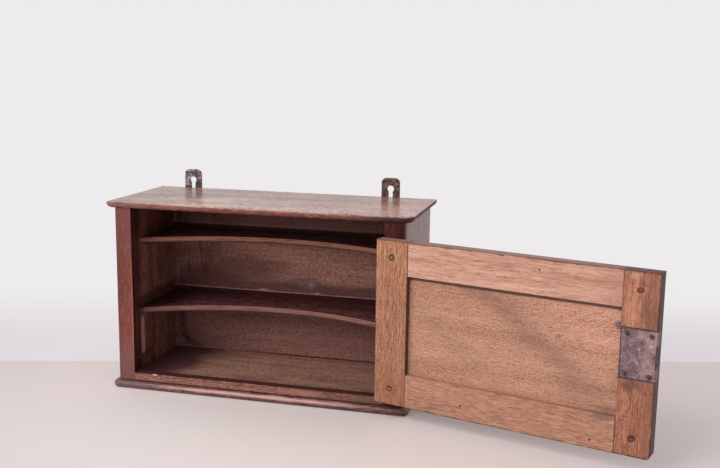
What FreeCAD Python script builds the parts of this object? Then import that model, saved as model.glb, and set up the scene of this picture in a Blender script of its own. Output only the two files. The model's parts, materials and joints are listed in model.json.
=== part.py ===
import FreeCAD, Part

import math
import os

from FreeCAD import Vector

os.makedirs("parts", exist_ok=True)

# Small oak hanging cabinet with one door. All sizes are in millimetres.
# X runs to the cabinet's right, Y to the wall behind it and Z up.
# The origin is the middle of the base's underside.

# Carcass
CARCASS_WIDTH = 500.0
CARCASS_DEPTH = 204.0
CARCASS_HEIGHT = 300.0
SIDE_THICKNESS = 14.0
BASE_THICKNESS = 13.0
BASE_OVERHANG = 9.5
BASE_CORNER_RADIUS = 10.0
BASE_NOSE_RADIUS = 6.3
TOP_THICKNESS = 11.0
TOP_SIDE_OVERHANG = 11.0
TOP_FRONT_OVERHANG = 8.0
TOP_LEFT_CORNER_RADIUS = 0.0
TOP_RIGHT_CORNER_RADIUS = 18.0
TOP_UNDERCUT_RADIUS = 8.8
TOP_ARRIS_RADIUS = 0.8
LEFT_STILE_WIDTH = 28.0
LEFT_STILE_THICKNESS = 10.0
RIGHT_STILE_WIDTH = 34.0
RIGHT_STILE_THICKNESS = 18.0
STILE_ARRIS_RADIUS = 0.8
RAIL_HEIGHT = 13.5
RAIL_THICKNESS = 18.0
RAIL_ARRIS_RADIUS = 1.2
FLOOR_THICKNESS = 5.0
BACK_THICKNESS = 7.0
BACK_LAP = 7.0
BACK_JOINT_HEIGHT = 139.5
BACK_JOINT_GAP = 0.6

# Shelves, with a hollow curve along the front edge
SHELF_THICKNESS = 10.0
SHELF_HOLLOW = 70.0
SHELF_ARRIS = 0.8
UPPER_SHELF_TOP = 252.0
UPPER_SHELF_SETBACK = 58.0
MIDDLE_SHELF_TOP = 129.0
MIDDLE_SHELF_SETBACK = 46.0
BEARER_THICKNESS = 8.0
BEARER_HEIGHT = 9.0
BEARER_SETBACK = 5.0
POST_DEPTH = 14.0
POST_LENGTH = 74.0
POST_END_RADIUS = 6.0

# Hangers
HANGER_WIDTH = 33.0
HANGER_LENGTH = 50.0
HANGER_THICKNESS = 2.0
HANGER_RISE = 34.0
HANGER_CORNER_RADIUS = 9.0
LEFT_HANGER_INSET = 52.0
RIGHT_HANGER_INSET = 72.0
HANGER_HOLE_RADIUS = 6.0
HANGER_HOLE_RISE = 14.5
HANGER_SLOT_WIDTH = 7.6
HANGER_SLOT_LENGTH = 17.0
HANGER_SCREW_SPACING = 21.0
HANGER_SCREW_LENGTH = 16.0

# Door, framed round a sunk panel
DOOR_THICKNESS = 21.0
DOOR_BOTTOM_GAP = 2.5
DOOR_TOP_GAP = 22.0
DOOR_SIDE_GAP = 1.2
DOOR_OPEN_ANGLE = 163.5
DOOR_ARRIS_RADIUS = 0.6
HINGE_STILE_FOOT_RADIUS = 0.0
LOCK_STILE_FOOT_RADIUS = 7.0
HINGE_STILE_WIDTH = 54.5
LOCK_STILE_WIDTH = 50.5
DOOR_RAIL_WIDTH = 52.5
PANEL_THICKNESS = 6.0
PANEL_FRONT_DEPTH = 6.0
PANEL_TONGUE = 7.0
GROOVE_ROOM = 1.0
TENON_THICKNESS = 7.0
TENON_LENGTH = 40.0
TENON_SHOULDER = 10.0
PEG_RADIUS = 4.0
PEG_INSET = 27.0

# Butt hinges
HINGE_LENGTH = 50.0
HINGE_END_DISTANCE = 20.0
LEAF_WIDTH = 16.0
LEAF_THICKNESS = 1.5
LEAF_GAP = 0.2
KNUCKLE_RADIUS = 3.0
KNUCKLE_STANDOFF = 0.2
KNUCKLE_CLEARANCE = 0.3
HINGE_PIN_RADIUS = 1.5
HINGE_PIN_OVERRUN = 0.8
HINGE_SCREW_SPACING = 17.0
HINGE_SCREW_LENGTH = 12.0

# Lock
LOCK_PLATE_WIDTH = 49.5
LOCK_PLATE_HEIGHT = 70.5
LOCK_PLATE_THICKNESS = 2.0
LOCK_PLATE_BOTTOM = 111.5
SELVEDGE_DEPTH = 13.0
CASE_BACK_DISTANCE = 38.2
CASE_HEIGHT = 50.0
CASE_DEPTH = 11.0
CASE_WALL = 1.2
BOLT_HEIGHT = 25.4
BOLT_THICKNESS = 5.0
BOLT_INSET = 0.5
BOLT_TAIL_ROOM = 0.8
BOLT_BACK_DEPTH = 16.5
BOLT_SLACK = 0.3
STUD_RADIUS = 2.0
STUD_EDGE_DISTANCE = 19.7
STUD_RISE = 5.0
KEY_EDGE_DISTANCE = 22.7
KEY_TURN_ANGLE = 80.0
KEY_BIT_REACH = 7.5
KEY_BIT_THICKNESS = 2.0
KEY_BIT_LENGTH = 7.0
KEY_BIT_SLACK = 0.25
KEY_SHANK_RADIUS = 3.0
KEY_SHANK_LENGTH = 48.0
KEY_BOW_HALF_WIDTH = 11.0
KEY_BOW_HALF_LENGTH = 9.0
KEY_BOW_BAND = 3.2
KEY_BOW_THICKNESS = 3.0
KEY_POST_RADIUS = 1.5
KEY_POST_LENGTH = 10.0
KEYHOLE_SLACK = 0.6
TALON_DROP = 4.8
SPRING_THICKNESS = 0.8
SPRING_WIDTH = 5.0
SPRING_SPAN = 26.0

# Fasteners
SCREW_HEAD_RADIUS = 2.6
SCREW_HEAD_DEPTH = 1.4
SCREW_SHANK_RADIUS = 1.4
NAIL_HEAD_RADIUS = 2.0
NAIL_HEAD_DEPTH = 0.8
NAIL_SHANK_RADIUS = 0.9
BACK_NAIL_LENGTH = 20.0
BACK_NAILS_PER_BOARD = 3
BACK_NAIL_END_DISTANCE = 18.0
LOCK_NAIL_LENGTH = 10.0
LOCK_NAIL_INSET = 7.0
LOCK_NAIL_EDGE_DISTANCE = 9.2

# Clearances shared by mating pieces
RUNNING_SLACK = 0.05
FIT_SLACK = 0.1
POCKET_SLACK = 0.3

# Points closer together than this count as one place
SAME_PLACE = 1e-4

# Positions that follow from the sizes
FRONT = -CARCASS_DEPTH / 2
BACK = CARCASS_DEPTH / 2
BACK_INNER = BACK - BACK_THICKNESS
HALF_WIDTH = CARCASS_WIDTH / 2
INNER_HALF = HALF_WIDTH - SIDE_THICKNESS
TOP_UNDERSIDE = BASE_THICKNESS + CARCASS_HEIGHT
TOP_SURFACE = TOP_UNDERSIDE + TOP_THICKNESS
FLOOR_TOP = BASE_THICKNESS + FLOOR_THICKNESS
LEFT_STILE_INNER = -HALF_WIDTH + LEFT_STILE_WIDTH
RIGHT_STILE_INNER = HALF_WIDTH - RIGHT_STILE_WIDTH
RAIL_TOP = BASE_THICKNESS + RAIL_HEIGHT
DOOR_BOTTOM = RAIL_TOP + DOOR_BOTTOM_GAP
DOOR_TOP = TOP_UNDERSIDE - DOOR_TOP_GAP
DOOR_HEIGHT = DOOR_TOP - DOOR_BOTTOM
DOOR_HINGE_EDGE = RIGHT_STILE_INNER - DOOR_SIDE_GAP
DOOR_WIDTH = DOOR_HINGE_EDGE - LEFT_STILE_INNER - DOOR_SIDE_GAP
HINGE_X = RIGHT_STILE_INNER - DOOR_SIDE_GAP / 2
HINGE_Y = FRONT - KNUCKLE_STANDOFF - KNUCKLE_RADIUS
HINGE_CENTRES = (
    DOOR_BOTTOM + HINGE_END_DISTANCE + HINGE_LENGTH / 2,
    DOOR_TOP - HINGE_END_DISTANCE - HINGE_LENGTH / 2,
)
UP = Vector(0, 0, 1)
TO_WALL = Vector(0, 1, 0)
TO_FRONT = Vector(0, -1, 0)
TO_RIGHT = Vector(1, 0, 0)
TO_LEFT = Vector(-1, 0, 0)

nodes = {}


def box(x, y, z):
    """A board between two limits along each axis, the limits in either order."""
    low = Vector(min(x), min(y), min(z))
    high = Vector(max(x), max(y), max(z))
    size = high - low
    return Part.makeBox(size.x, size.y, size.z, low)


def rod(start, direction, length, radius):
    """A round bar from a point along a direction."""
    return Part.makeCylinder(radius, length, start, direction)


def join(*pieces):
    """One solid made of touching or overlapping pieces."""
    whole = pieces[0].multiFuse(list(pieces[1:]))
    return whole.removeSplitter().Solids[0]


def cut(piece, *tools):
    """The piece with every tool taken away from it."""
    return piece.cut(list(tools)).removeSplitter().Solids[0]


def outline_prism(edges, direction):
    """The solid swept by a closed flat outline."""
    return Part.Face(Part.Wire(edges)).extrude(direction).Solids[0]


def round_edges(piece, radius, wanted):
    """The piece with a round on each edge that the test accepts."""
    chosen = [edge for edge in piece.Edges if wanted(edge)]
    return piece.makeFillet(radius, chosen).Solids[0]


def at_height(edge, height):
    """Whether an edge lies level at a height."""
    return all(abs(vertex.Z - height) < SAME_PLACE for vertex in edge.Vertexes)


def at_depth(edge, depth):
    """Whether an edge lies at one distance along Y."""
    return all(abs(vertex.Y - depth) < SAME_PLACE for vertex in edge.Vertexes)


def at_side(edge, place):
    """Whether an edge lies at one distance along X."""
    return all(abs(vertex.X - place) < SAME_PLACE for vertex in edge.Vertexes)


def screw(head, direction, length, slack=0.0):
    """A countersunk screw with its head flush at a point; slack widens it into a hole."""
    cone = Part.makeCone(
        SCREW_HEAD_RADIUS + slack, SCREW_SHANK_RADIUS + slack, SCREW_HEAD_DEPTH, head, direction
    )
    return join(cone, rod(head, direction, length + slack, SCREW_SHANK_RADIUS + slack))


def nail(head, direction, length, slack=0.0):
    """A flat-headed nail with its head flush at a point; slack widens it into a hole."""
    disc = rod(head, direction, NAIL_HEAD_DEPTH + slack, NAIL_HEAD_RADIUS + slack)
    return join(disc, rod(head, direction, length + slack, NAIL_SHANK_RADIUS + slack))


def front_cornered_plate(half_width, front, back, low, thickness, left_radius, right_radius):
    """A level board with its front corners rounded in plan; a corner of no radius stays square."""
    plate = box((-half_width, half_width), (front, back), (low, low + thickness))
    for place, radius in ((-half_width, left_radius), (half_width, right_radius)):
        if radius:
            plate = round_edges(plate, radius, lambda edge: at_side(edge, place) and at_depth(edge, front))
    return plate


# Hangers: iron plates screwed to the back edge of the top, each with a keyhole
def hanger(centre_x):
    """One hanging plate, standing behind and above the top board."""
    top = TOP_SURFACE + HANGER_RISE
    plate = box(
        (centre_x - HANGER_WIDTH / 2, centre_x + HANGER_WIDTH / 2),
        (BACK, BACK + HANGER_THICKNESS),
        (top - HANGER_LENGTH, top),
    )
    plate = round_edges(
        plate,
        HANGER_CORNER_RADIUS,
        lambda edge: at_height(edge, top) and at_side(edge, edge.Vertexes[0].X),
    )
    hole_centre = TOP_SURFACE + HANGER_HOLE_RISE
    hole = rod(Vector(centre_x, BACK, hole_centre), TO_WALL, HANGER_THICKNESS, HANGER_HOLE_RADIUS)
    slot = box(
        (centre_x - HANGER_SLOT_WIDTH / 2, centre_x + HANGER_SLOT_WIDTH / 2),
        (BACK, BACK + HANGER_THICKNESS),
        (hole_centre - HANGER_SLOT_LENGTH, hole_centre),
    )
    return cut(plate, hole, slot, *hanger_screws(centre_x, FIT_SLACK))


def hanger_screws(centre_x, slack=0.0):
    """The two screws that hold a hanger to the edge of the top board."""
    height = TOP_UNDERSIDE + TOP_THICKNESS / 2
    places = (centre_x - HANGER_SCREW_SPACING / 2, centre_x + HANGER_SCREW_SPACING / 2)
    face = BACK + HANGER_THICKNESS
    return [screw(Vector(x, face, height), TO_FRONT, HANGER_SCREW_LENGTH, slack) for x in places]


hanger_places = (LEFT_HANGER_INSET - HALF_WIDTH, HALF_WIDTH - RIGHT_HANGER_INSET)
for name, place in zip(("left", "right"), hanger_places):
    nodes["hanger_" + name] = hanger(place)
nodes["hanger_screws"] = Part.makeCompound([one for x in hanger_places for one in hanger_screws(x)])

# Top board: flat on top, rounded under along the front and both ends
top_board = front_cornered_plate(
    HALF_WIDTH + TOP_SIDE_OVERHANG,
    FRONT - TOP_FRONT_OVERHANG,
    BACK,
    TOP_UNDERSIDE,
    TOP_THICKNESS,
    TOP_LEFT_CORNER_RADIUS,
    TOP_RIGHT_CORNER_RADIUS,
)
top_board = round_edges(
    top_board,
    TOP_UNDERCUT_RADIUS,
    lambda edge: at_height(edge, TOP_UNDERSIDE) and not at_depth(edge, BACK),
)
top_board = round_edges(
    top_board,
    TOP_ARRIS_RADIUS,
    lambda edge: at_height(edge, TOP_SURFACE) and not at_depth(edge, BACK),
)
top_screw_holes = [hole for x in hanger_places for hole in hanger_screws(x, FIT_SLACK)]
nodes["top_board"] = cut(top_board, *top_screw_holes)

# Base board: half-round nose along the front and both ends
base_board = front_cornered_plate(
    HALF_WIDTH + BASE_OVERHANG,
    FRONT - BASE_OVERHANG,
    BACK,
    0.0,
    BASE_THICKNESS,
    BASE_CORNER_RADIUS,
    BASE_CORNER_RADIUS,
)
nodes["base_board"] = round_edges(
    base_board,
    BASE_NOSE_RADIUS,
    lambda edge: (at_height(edge, 0.0) or at_height(edge, BASE_THICKNESS)) and not at_depth(edge, BACK),
)

# Floor board, laid on the base behind the bottom rail
nodes["floor_board"] = box(
    (-INNER_HALF, INNER_HALF), (FRONT + RAIL_THICKNESS, BACK_INNER), (BASE_THICKNESS, FLOOR_TOP)
)

# Back boards: two level planks let into a rebate in the sides
back_joint = (BACK_JOINT_HEIGHT - BACK_JOINT_GAP / 2, BACK_JOINT_HEIGHT + BACK_JOINT_GAP / 2)
back_spans = {
    "back_board_lower": (BASE_THICKNESS, back_joint[0]),
    "back_board_upper": (back_joint[1], TOP_UNDERSIDE),
}


def back_nails(slack=0.0):
    """The nails along both ends of each back board."""
    made = []
    for low, high in back_spans.values():
        first = low + BACK_NAIL_END_DISTANCE
        step = (high - low - 2 * BACK_NAIL_END_DISTANCE) / (BACK_NAILS_PER_BOARD - 1)
        for side in (-1, 1):
            x = side * (INNER_HALF + BACK_LAP / 2)
            for row in range(BACK_NAILS_PER_BOARD):
                made.append(nail(Vector(x, BACK, first + row * step), TO_FRONT, BACK_NAIL_LENGTH, slack))
    return made


nodes["back_nails"] = Part.makeCompound(back_nails())
for name, span in back_spans.items():
    board = box((-INNER_HALF - BACK_LAP, INNER_HALF + BACK_LAP), (BACK_INNER, BACK), span)
    nodes[name] = cut(board, *back_nails(RUNNING_SLACK))


# Sides, with the rebate for the back along the rear edge
def side_board(side, front):
    """One end of the carcass; side is -1 for the left and 1 for the right."""
    board = box((side * INNER_HALF, side * HALF_WIDTH), (front, BACK), (BASE_THICKNESS, TOP_UNDERSIDE))
    rebate = box(
        (side * INNER_HALF, side * (INNER_HALF + BACK_LAP)),
        (BACK_INNER, BACK),
        (BASE_THICKNESS, TOP_UNDERSIDE),
    )
    return cut(board, rebate, *back_nails(RUNNING_SLACK))


nodes["left_side"] = side_board(-1, FRONT + LEFT_STILE_THICKNESS)
nodes["right_side"] = side_board(1, FRONT + RIGHT_STILE_THICKNESS)


# Butt hinges: the carcass leaf has the two end knuckles, the door leaf the middle one
KNUCKLE_LENGTH = (HINGE_LENGTH - 2 * KNUCKLE_CLEARANCE) / 3
LEAF_START = HINGE_Y + KNUCKLE_RADIUS + KNUCKLE_CLEARANCE
LEAF_END = FRONT + LEAF_WIDTH


def leaf_x(side):
    """The two faces of a leaf when shut; side is 1 for the carcass and -1 for the door."""
    near = HINGE_X + side * LEAF_GAP / 2
    return near, near + side * LEAF_THICKNESS


def leaf_screws(side, centre, slack=0.0):
    """The three screws of one leaf."""
    face = leaf_x(side)[0]
    middle = (LEAF_START + LEAF_END) / 2
    direction = TO_RIGHT if side > 0 else TO_LEFT
    heights = [centre + row * HINGE_SCREW_SPACING for row in (-1, 0, 1)]
    return [screw(Vector(face, middle, z), direction, HINGE_SCREW_LENGTH, slack) for z in heights]


def leaf_pocket(side, centre):
    """The recess in the wood that takes a leaf, with its screw holes."""
    wood = HINGE_X + side * DOOR_SIDE_GAP / 2
    depth = leaf_x(side)[1] + side * FIT_SLACK
    half = HINGE_LENGTH / 2 + FIT_SLACK
    recess = box((wood, depth), (FRONT, LEAF_END + FIT_SLACK), (centre - half, centre + half))
    return [recess, *leaf_screws(side, centre, RUNNING_SLACK)]


def hinge_leaf(side, centre):
    """A leaf with its knuckles, drawn shut."""
    low = centre - HINGE_LENGTH / 2
    step = KNUCKLE_LENGTH + KNUCKLE_CLEARANCE
    rows = (0, 2) if side > 0 else (1,)
    pieces = [box(leaf_x(side), (LEAF_START, LEAF_END), (low, low + HINGE_LENGTH))]
    for row in rows:
        span = (low + row * step, low + row * step + KNUCKLE_LENGTH)
        pieces.append(rod(Vector(HINGE_X, HINGE_Y, span[0]), UP, KNUCKLE_LENGTH, KNUCKLE_RADIUS))
        pieces.append(box(leaf_x(side), (HINGE_Y, LEAF_START), span))
    bore = rod(Vector(HINGE_X, HINGE_Y, low), UP, HINGE_LENGTH, HINGE_PIN_RADIUS + RUNNING_SLACK)
    return cut(join(*pieces), bore, *leaf_screws(side, centre, RUNNING_SLACK))


def hinge_pin(centre):
    """The pin through all the knuckles, a little longer than the hinge."""
    length = HINGE_LENGTH + 2 * HINGE_PIN_OVERRUN
    return rod(Vector(HINGE_X, HINGE_Y, centre - length / 2), UP, length, HINGE_PIN_RADIUS)


# The door is drawn shut and then swung open about the hinge pins
def swing(shape):
    """A door piece turned from shut to the open position it is stored in."""
    shape.rotate(Vector(HINGE_X, HINGE_Y, 0), UP, DOOR_OPEN_ANGLE)
    return shape


for name, centre in zip(("lower", "upper"), HINGE_CENTRES):
    nodes["hinge_leaf_carcass_" + name] = hinge_leaf(1, centre)
    nodes["hinge_leaf_door_" + name] = swing(hinge_leaf(-1, centre))
    nodes["hinge_pin_" + name] = hinge_pin(centre)
nodes["hinge_screws_carcass"] = Part.makeCompound(
    [one for centre in HINGE_CENTRES for one in leaf_screws(1, centre)]
)
nodes["hinge_screws_door"] = swing(
    Part.makeCompound([one for centre in HINGE_CENTRES for one in leaf_screws(-1, centre)])
)

# Front stiles on the ends of the carcass, and the rail between their feet
left_stile = box(
    (-HALF_WIDTH, LEFT_STILE_INNER), (FRONT, FRONT + LEFT_STILE_THICKNESS), (BASE_THICKNESS, TOP_UNDERSIDE)
)
nodes["left_front_stile"] = round_edges(
    left_stile, STILE_ARRIS_RADIUS, lambda edge: at_depth(edge, FRONT) and at_side(edge, edge.Vertexes[0].X)
)
right_stile = box(
    (RIGHT_STILE_INNER, HALF_WIDTH), (FRONT, FRONT + RIGHT_STILE_THICKNESS), (BASE_THICKNESS, TOP_UNDERSIDE)
)
right_stile = round_edges(
    right_stile, STILE_ARRIS_RADIUS, lambda edge: at_depth(edge, FRONT) and at_side(edge, HALF_WIDTH)
)
stile_pockets = [tool for centre in HINGE_CENTRES for tool in leaf_pocket(1, centre)]
nodes["right_front_stile"] = cut(right_stile, *stile_pockets)

bottom_rail = box(
    (LEFT_STILE_INNER, RIGHT_STILE_INNER), (FRONT, FRONT + RAIL_THICKNESS), (BASE_THICKNESS, RAIL_TOP)
)
nodes["bottom_rail"] = round_edges(
    bottom_rail, RAIL_ARRIS_RADIUS, lambda edge: at_depth(edge, FRONT) and at_height(edge, RAIL_TOP)
)


# Shelves, lying on bearers along the sides
def shelf(top, setback):
    """A shelf whose front edge is one hollow arc between its ends, its corners eased by a bevel."""
    low = top - SHELF_THICKNESS
    arc_radius = (INNER_HALF**2 + SHELF_HOLLOW**2) / (2 * SHELF_HOLLOW)
    arc_centre = Vector(0, FRONT + setback + SHELF_HOLLOW - arc_radius, low)
    blank = box((-INNER_HALF, INNER_HALF), (FRONT, BACK_INNER), (low, top))
    hollowed = cut(blank, rod(arc_centre, UP, SHELF_THICKNESS, arc_radius))
    arcs = [edge for edge in hollowed.Edges if edge.Curve.TypeId == "Part::GeomCircle"]
    return hollowed.makeChamfer(SHELF_ARRIS, arcs).Solids[0]


def bearer(side, top, front):
    """A strip on a side wall that carries one end of a shelf."""
    under = top - SHELF_THICKNESS
    return box(
        (side * INNER_HALF, side * (INNER_HALF - BEARER_THICKNESS)),
        (front, BACK_INNER),
        (under - BEARER_HEIGHT, under),
    )


def bearer_post(side):
    """An upright strip under the front end of the middle shelf, rounded at its foot."""
    top = MIDDLE_SHELF_TOP - SHELF_THICKNESS
    inner = side * (INNER_HALF - BEARER_THICKNESS)
    front = FRONT + MIDDLE_SHELF_SETBACK + BEARER_SETBACK
    post = box((side * INNER_HALF, inner), (front, front + POST_DEPTH), (top - POST_LENGTH, top))
    return round_edges(
        post,
        POST_END_RADIUS,
        lambda edge: at_height(edge, top - POST_LENGTH) and at_side(edge, inner),
    )


nodes["upper_shelf"] = shelf(UPPER_SHELF_TOP, UPPER_SHELF_SETBACK)
nodes["middle_shelf"] = shelf(MIDDLE_SHELF_TOP, MIDDLE_SHELF_SETBACK)
upper_bearer_front = FRONT + UPPER_SHELF_SETBACK + BEARER_SETBACK
middle_bearer_front = FRONT + MIDDLE_SHELF_SETBACK + BEARER_SETBACK + POST_DEPTH
for side, name in ((-1, "left"), (1, "right")):
    nodes["upper_bearer_" + name] = bearer(side, UPPER_SHELF_TOP, upper_bearer_front)
    nodes["middle_bearer_" + name] = bearer(side, MIDDLE_SHELF_TOP, middle_bearer_front)
    nodes["bearer_post_" + name] = bearer_post(side)


# Door pieces are placed by the distance from the hinge edge, the depth behind the outer face
# and the height above the door's foot
def door_point(along, depth, height):
    """A point on the shut door."""
    return Vector(DOOR_HINGE_EDGE - along, FRONT + depth, DOOR_BOTTOM + height)


def door_box(along, depth, height):
    """A block on the shut door between two limits in each direction."""
    low = door_point(along[0], depth[0], height[0])
    high = door_point(along[1], depth[1], height[1])
    return box((low.x, high.x), (low.y, high.y), (low.z, high.z))


LOCK_STILE_START = DOOR_WIDTH - LOCK_STILE_WIDTH
PANEL_LOW = DOOR_RAIL_WIDTH - PANEL_TONGUE
PANEL_HIGH = DOOR_HEIGHT - DOOR_RAIL_WIDTH + PANEL_TONGUE
PANEL_START = HINGE_STILE_WIDTH - PANEL_TONGUE
PANEL_END = LOCK_STILE_START + PANEL_TONGUE
PANEL_DEPTH = (PANEL_FRONT_DEPTH, PANEL_FRONT_DEPTH + PANEL_THICKNESS)
TENON_DEPTH = (PANEL_FRONT_DEPTH, PANEL_FRONT_DEPTH + TENON_THICKNESS)
TENON_HEIGHTS = (
    (TENON_SHOULDER, PANEL_LOW - GROOVE_ROOM),
    (PANEL_HIGH + GROOVE_ROOM, DOOR_HEIGHT - TENON_SHOULDER),
)
RAIL_HEIGHTS = ((0.0, DOOR_RAIL_WIDTH), (DOOR_HEIGHT - DOOR_RAIL_WIDTH, DOOR_HEIGHT))


def grown(span, room):
    """A span made longer by the same room at both ends."""
    return span[0] - room, span[1] + room


panel_groove = door_box(
    grown((PANEL_START, PANEL_END), GROOVE_ROOM),
    grown(PANEL_DEPTH, FIT_SLACK),
    grown((PANEL_LOW, PANEL_HIGH), GROOVE_ROOM),
)
nodes["door_panel"] = swing(door_box((PANEL_START, PANEL_END), PANEL_DEPTH, (PANEL_LOW, PANEL_HIGH)))

peg_places = [
    (along, (low + high) / 2)
    for along in (PEG_INSET, DOOR_WIDTH - PEG_INSET)
    for low, high in RAIL_HEIGHTS
]


def door_pegs(slack=0.0):
    """The oak pegs driven through the stiles and tenons."""
    return [
        rod(door_point(along, 0, height), TO_WALL, DOOR_THICKNESS, PEG_RADIUS + slack)
        for along, height in peg_places
    ]


nodes["door_pegs"] = swing(Part.makeCompound(door_pegs()))

tenon_span = (HINGE_STILE_WIDTH - TENON_LENGTH, LOCK_STILE_START + TENON_LENGTH)
for name, rail_span, tenon_height in zip(("bottom", "top"), RAIL_HEIGHTS, TENON_HEIGHTS):
    body = door_box((HINGE_STILE_WIDTH, LOCK_STILE_START), (0, DOOR_THICKNESS), rail_span)
    tenons = door_box(tenon_span, TENON_DEPTH, tenon_height)
    nodes["door_%s_rail" % name] = swing(cut(join(body, tenons), panel_groove, *door_pegs(RUNNING_SLACK)))

mortises = [
    door_box(grown(tenon_span, FIT_SLACK), grown(TENON_DEPTH, FIT_SLACK), grown(height, FIT_SLACK))
    for height in TENON_HEIGHTS
]


def stile_blank(along, outer_edge, foot_radius):
    """A door stile before its joints are cut, eased along its outer corners and rounded at its foot."""
    blank = door_box(along, (0, DOOR_THICKNESS), (0, DOOR_HEIGHT))
    place = door_point(outer_edge, 0, 0).x
    if foot_radius:
        blank = round_edges(
            blank, foot_radius, lambda edge: at_side(edge, place) and at_height(edge, DOOR_BOTTOM)
        )
    return round_edges(
        blank,
        DOOR_ARRIS_RADIUS,
        lambda edge: at_side(edge, place) and at_depth(edge, edge.Vertexes[0].Y),
    )


hinge_stile = stile_blank((0, HINGE_STILE_WIDTH), 0, HINGE_STILE_FOOT_RADIUS)
door_pockets = [tool for centre in HINGE_CENTRES for tool in leaf_pocket(-1, centre)]
nodes["hinge_stile"] = swing(
    cut(hinge_stile, panel_groove, *mortises, *door_pegs(RUNNING_SLACK), *door_pockets)
)

# Lock: a steel plate with a bent edge, let into the inside of the lock stile
INNER_FACE = DOOR_THICKNESS
PLATE_BACK = INNER_FACE - LOCK_PLATE_THICKNESS
PLATE_START = DOOR_WIDTH - LOCK_PLATE_WIDTH
PLATE_TOP = LOCK_PLATE_BOTTOM + LOCK_PLATE_HEIGHT
LOCK_MIDDLE = LOCK_PLATE_BOTTOM + LOCK_PLATE_HEIGHT / 2
BOLT_DEPTH = (BOLT_BACK_DEPTH - BOLT_THICKNESS, BOLT_BACK_DEPTH)
BOLT_LOW = LOCK_MIDDLE - BOLT_HEIGHT / 2
BOLT_TOP = LOCK_MIDDLE + BOLT_HEIGHT / 2
CASE_START = DOOR_WIDTH - CASE_BACK_DISTANCE
CASE_END = DOOR_WIDTH - LOCK_PLATE_THICKNESS
CASE_FRONT = PLATE_BACK - CASE_DEPTH
CASE_LOW = LOCK_MIDDLE - CASE_HEIGHT / 2 - CASE_WALL
CASE_TOP = CASE_LOW + CASE_HEIGHT
KEY_ALONG = DOOR_WIDTH - KEY_EDGE_DISTANCE
KEY_HEIGHT = BOLT_LOW - TALON_DROP
STUD_ALONG = DOOR_WIDTH - STUD_EDGE_DISTANCE
STUD_HEIGHT = LOCK_MIDDLE + STUD_RISE

# The bit turns inside a notch in the bolt, the talon. At each end of the turn the notch is centred
# between the bit's leading corner at the tip and its trailing face at the mouth of the notch.
half_turn = math.radians(KEY_TURN_ANGLE / 2)
bit_lead = KEY_BIT_REACH * math.sin(half_turn) + KEY_BIT_THICKNESS / 2 * math.cos(half_turn)
bit_trail = TALON_DROP * math.tan(half_turn) - KEY_BIT_THICKNESS / 2 / math.cos(half_turn)
BOLT_THROW = bit_lead + bit_trail
TALON_WIDTH = bit_lead - bit_trail + 2 * KEY_BIT_SLACK
TALON_DEPTH = KEY_BIT_REACH - TALON_DROP + 2 * KEY_BIT_SLACK

plate_face = door_box((PLATE_START, DOOR_WIDTH), (PLATE_BACK, INNER_FACE), (LOCK_PLATE_BOTTOM, PLATE_TOP))
selvedge = door_box(
    (CASE_END, DOOR_WIDTH), (INNER_FACE - SELVEDGE_DEPTH, INNER_FACE), (LOCK_PLATE_BOTTOM, PLATE_TOP)
)
bolt_slot = door_box(
    (CASE_END, DOOR_WIDTH), grown(BOLT_DEPTH, BOLT_SLACK), grown((BOLT_LOW, BOLT_TOP), BOLT_SLACK)
)
nail_places = [
    (along, height)
    for along in (PLATE_START + LOCK_NAIL_INSET, DOOR_WIDTH - LOCK_NAIL_EDGE_DISTANCE)
    for height in (LOCK_PLATE_BOTTOM + LOCK_NAIL_INSET, PLATE_TOP - LOCK_NAIL_INSET)
]


def lock_nails(slack=0.0):
    """The nails at the plate's corners, their heads standing proud of it."""
    made = []
    for along, height in nail_places:
        head = door_point(along, INNER_FACE + NAIL_HEAD_DEPTH, height)
        made.append(nail(head, TO_FRONT, LOCK_NAIL_LENGTH, slack))
    return made


nodes["lock_nails"] = swing(Part.makeCompound(lock_nails()))
nodes["lock_plate"] = swing(
    cut(join(plate_face, selvedge), bolt_slot, *lock_nails(RUNNING_SLACK))
)


# The case is a tray behind the plate, open towards the plate and the bent edge
def keyhole(depth, slack):
    """The hole that lets the key's shank and its bit through."""
    length = depth[1] - depth[0]
    centre = door_point(KEY_ALONG, depth[0], KEY_HEIGHT)
    half = KEY_BIT_THICKNESS / 2 + slack
    throat = door_box(
        (KEY_ALONG - half, KEY_ALONG + half),
        depth,
        (KEY_HEIGHT - KEY_BIT_REACH - slack, KEY_HEIGHT),
    )
    return join(rod(centre, TO_WALL, length, KEY_SHANK_RADIUS + slack), throat)


case_block = door_box((CASE_START, CASE_END), (CASE_FRONT, PLATE_BACK), (CASE_LOW, CASE_TOP))
case_hollow = door_box(
    (CASE_START + CASE_WALL, CASE_END),
    (CASE_FRONT + CASE_WALL, PLATE_BACK),
    (CASE_LOW + CASE_WALL, CASE_TOP - CASE_WALL),
)
case_keyhole = keyhole((CASE_FRONT, CASE_FRONT + CASE_WALL), KEYHOLE_SLACK)
nodes["lock_case"] = swing(cut(case_block, case_hollow, case_keyhole))

nodes["bolt_stud"] = swing(
    rod(
        door_point(STUD_ALONG, CASE_FRONT + CASE_WALL, STUD_HEIGHT),
        TO_WALL,
        PLATE_BACK - CASE_FRONT - CASE_WALL,
        STUD_RADIUS,
    )
)
nodes["key_post"] = swing(
    rod(door_point(KEY_ALONG, PLATE_BACK, KEY_HEIGHT), TO_FRONT, KEY_POST_LENGTH, KEY_POST_RADIUS)
)

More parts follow.
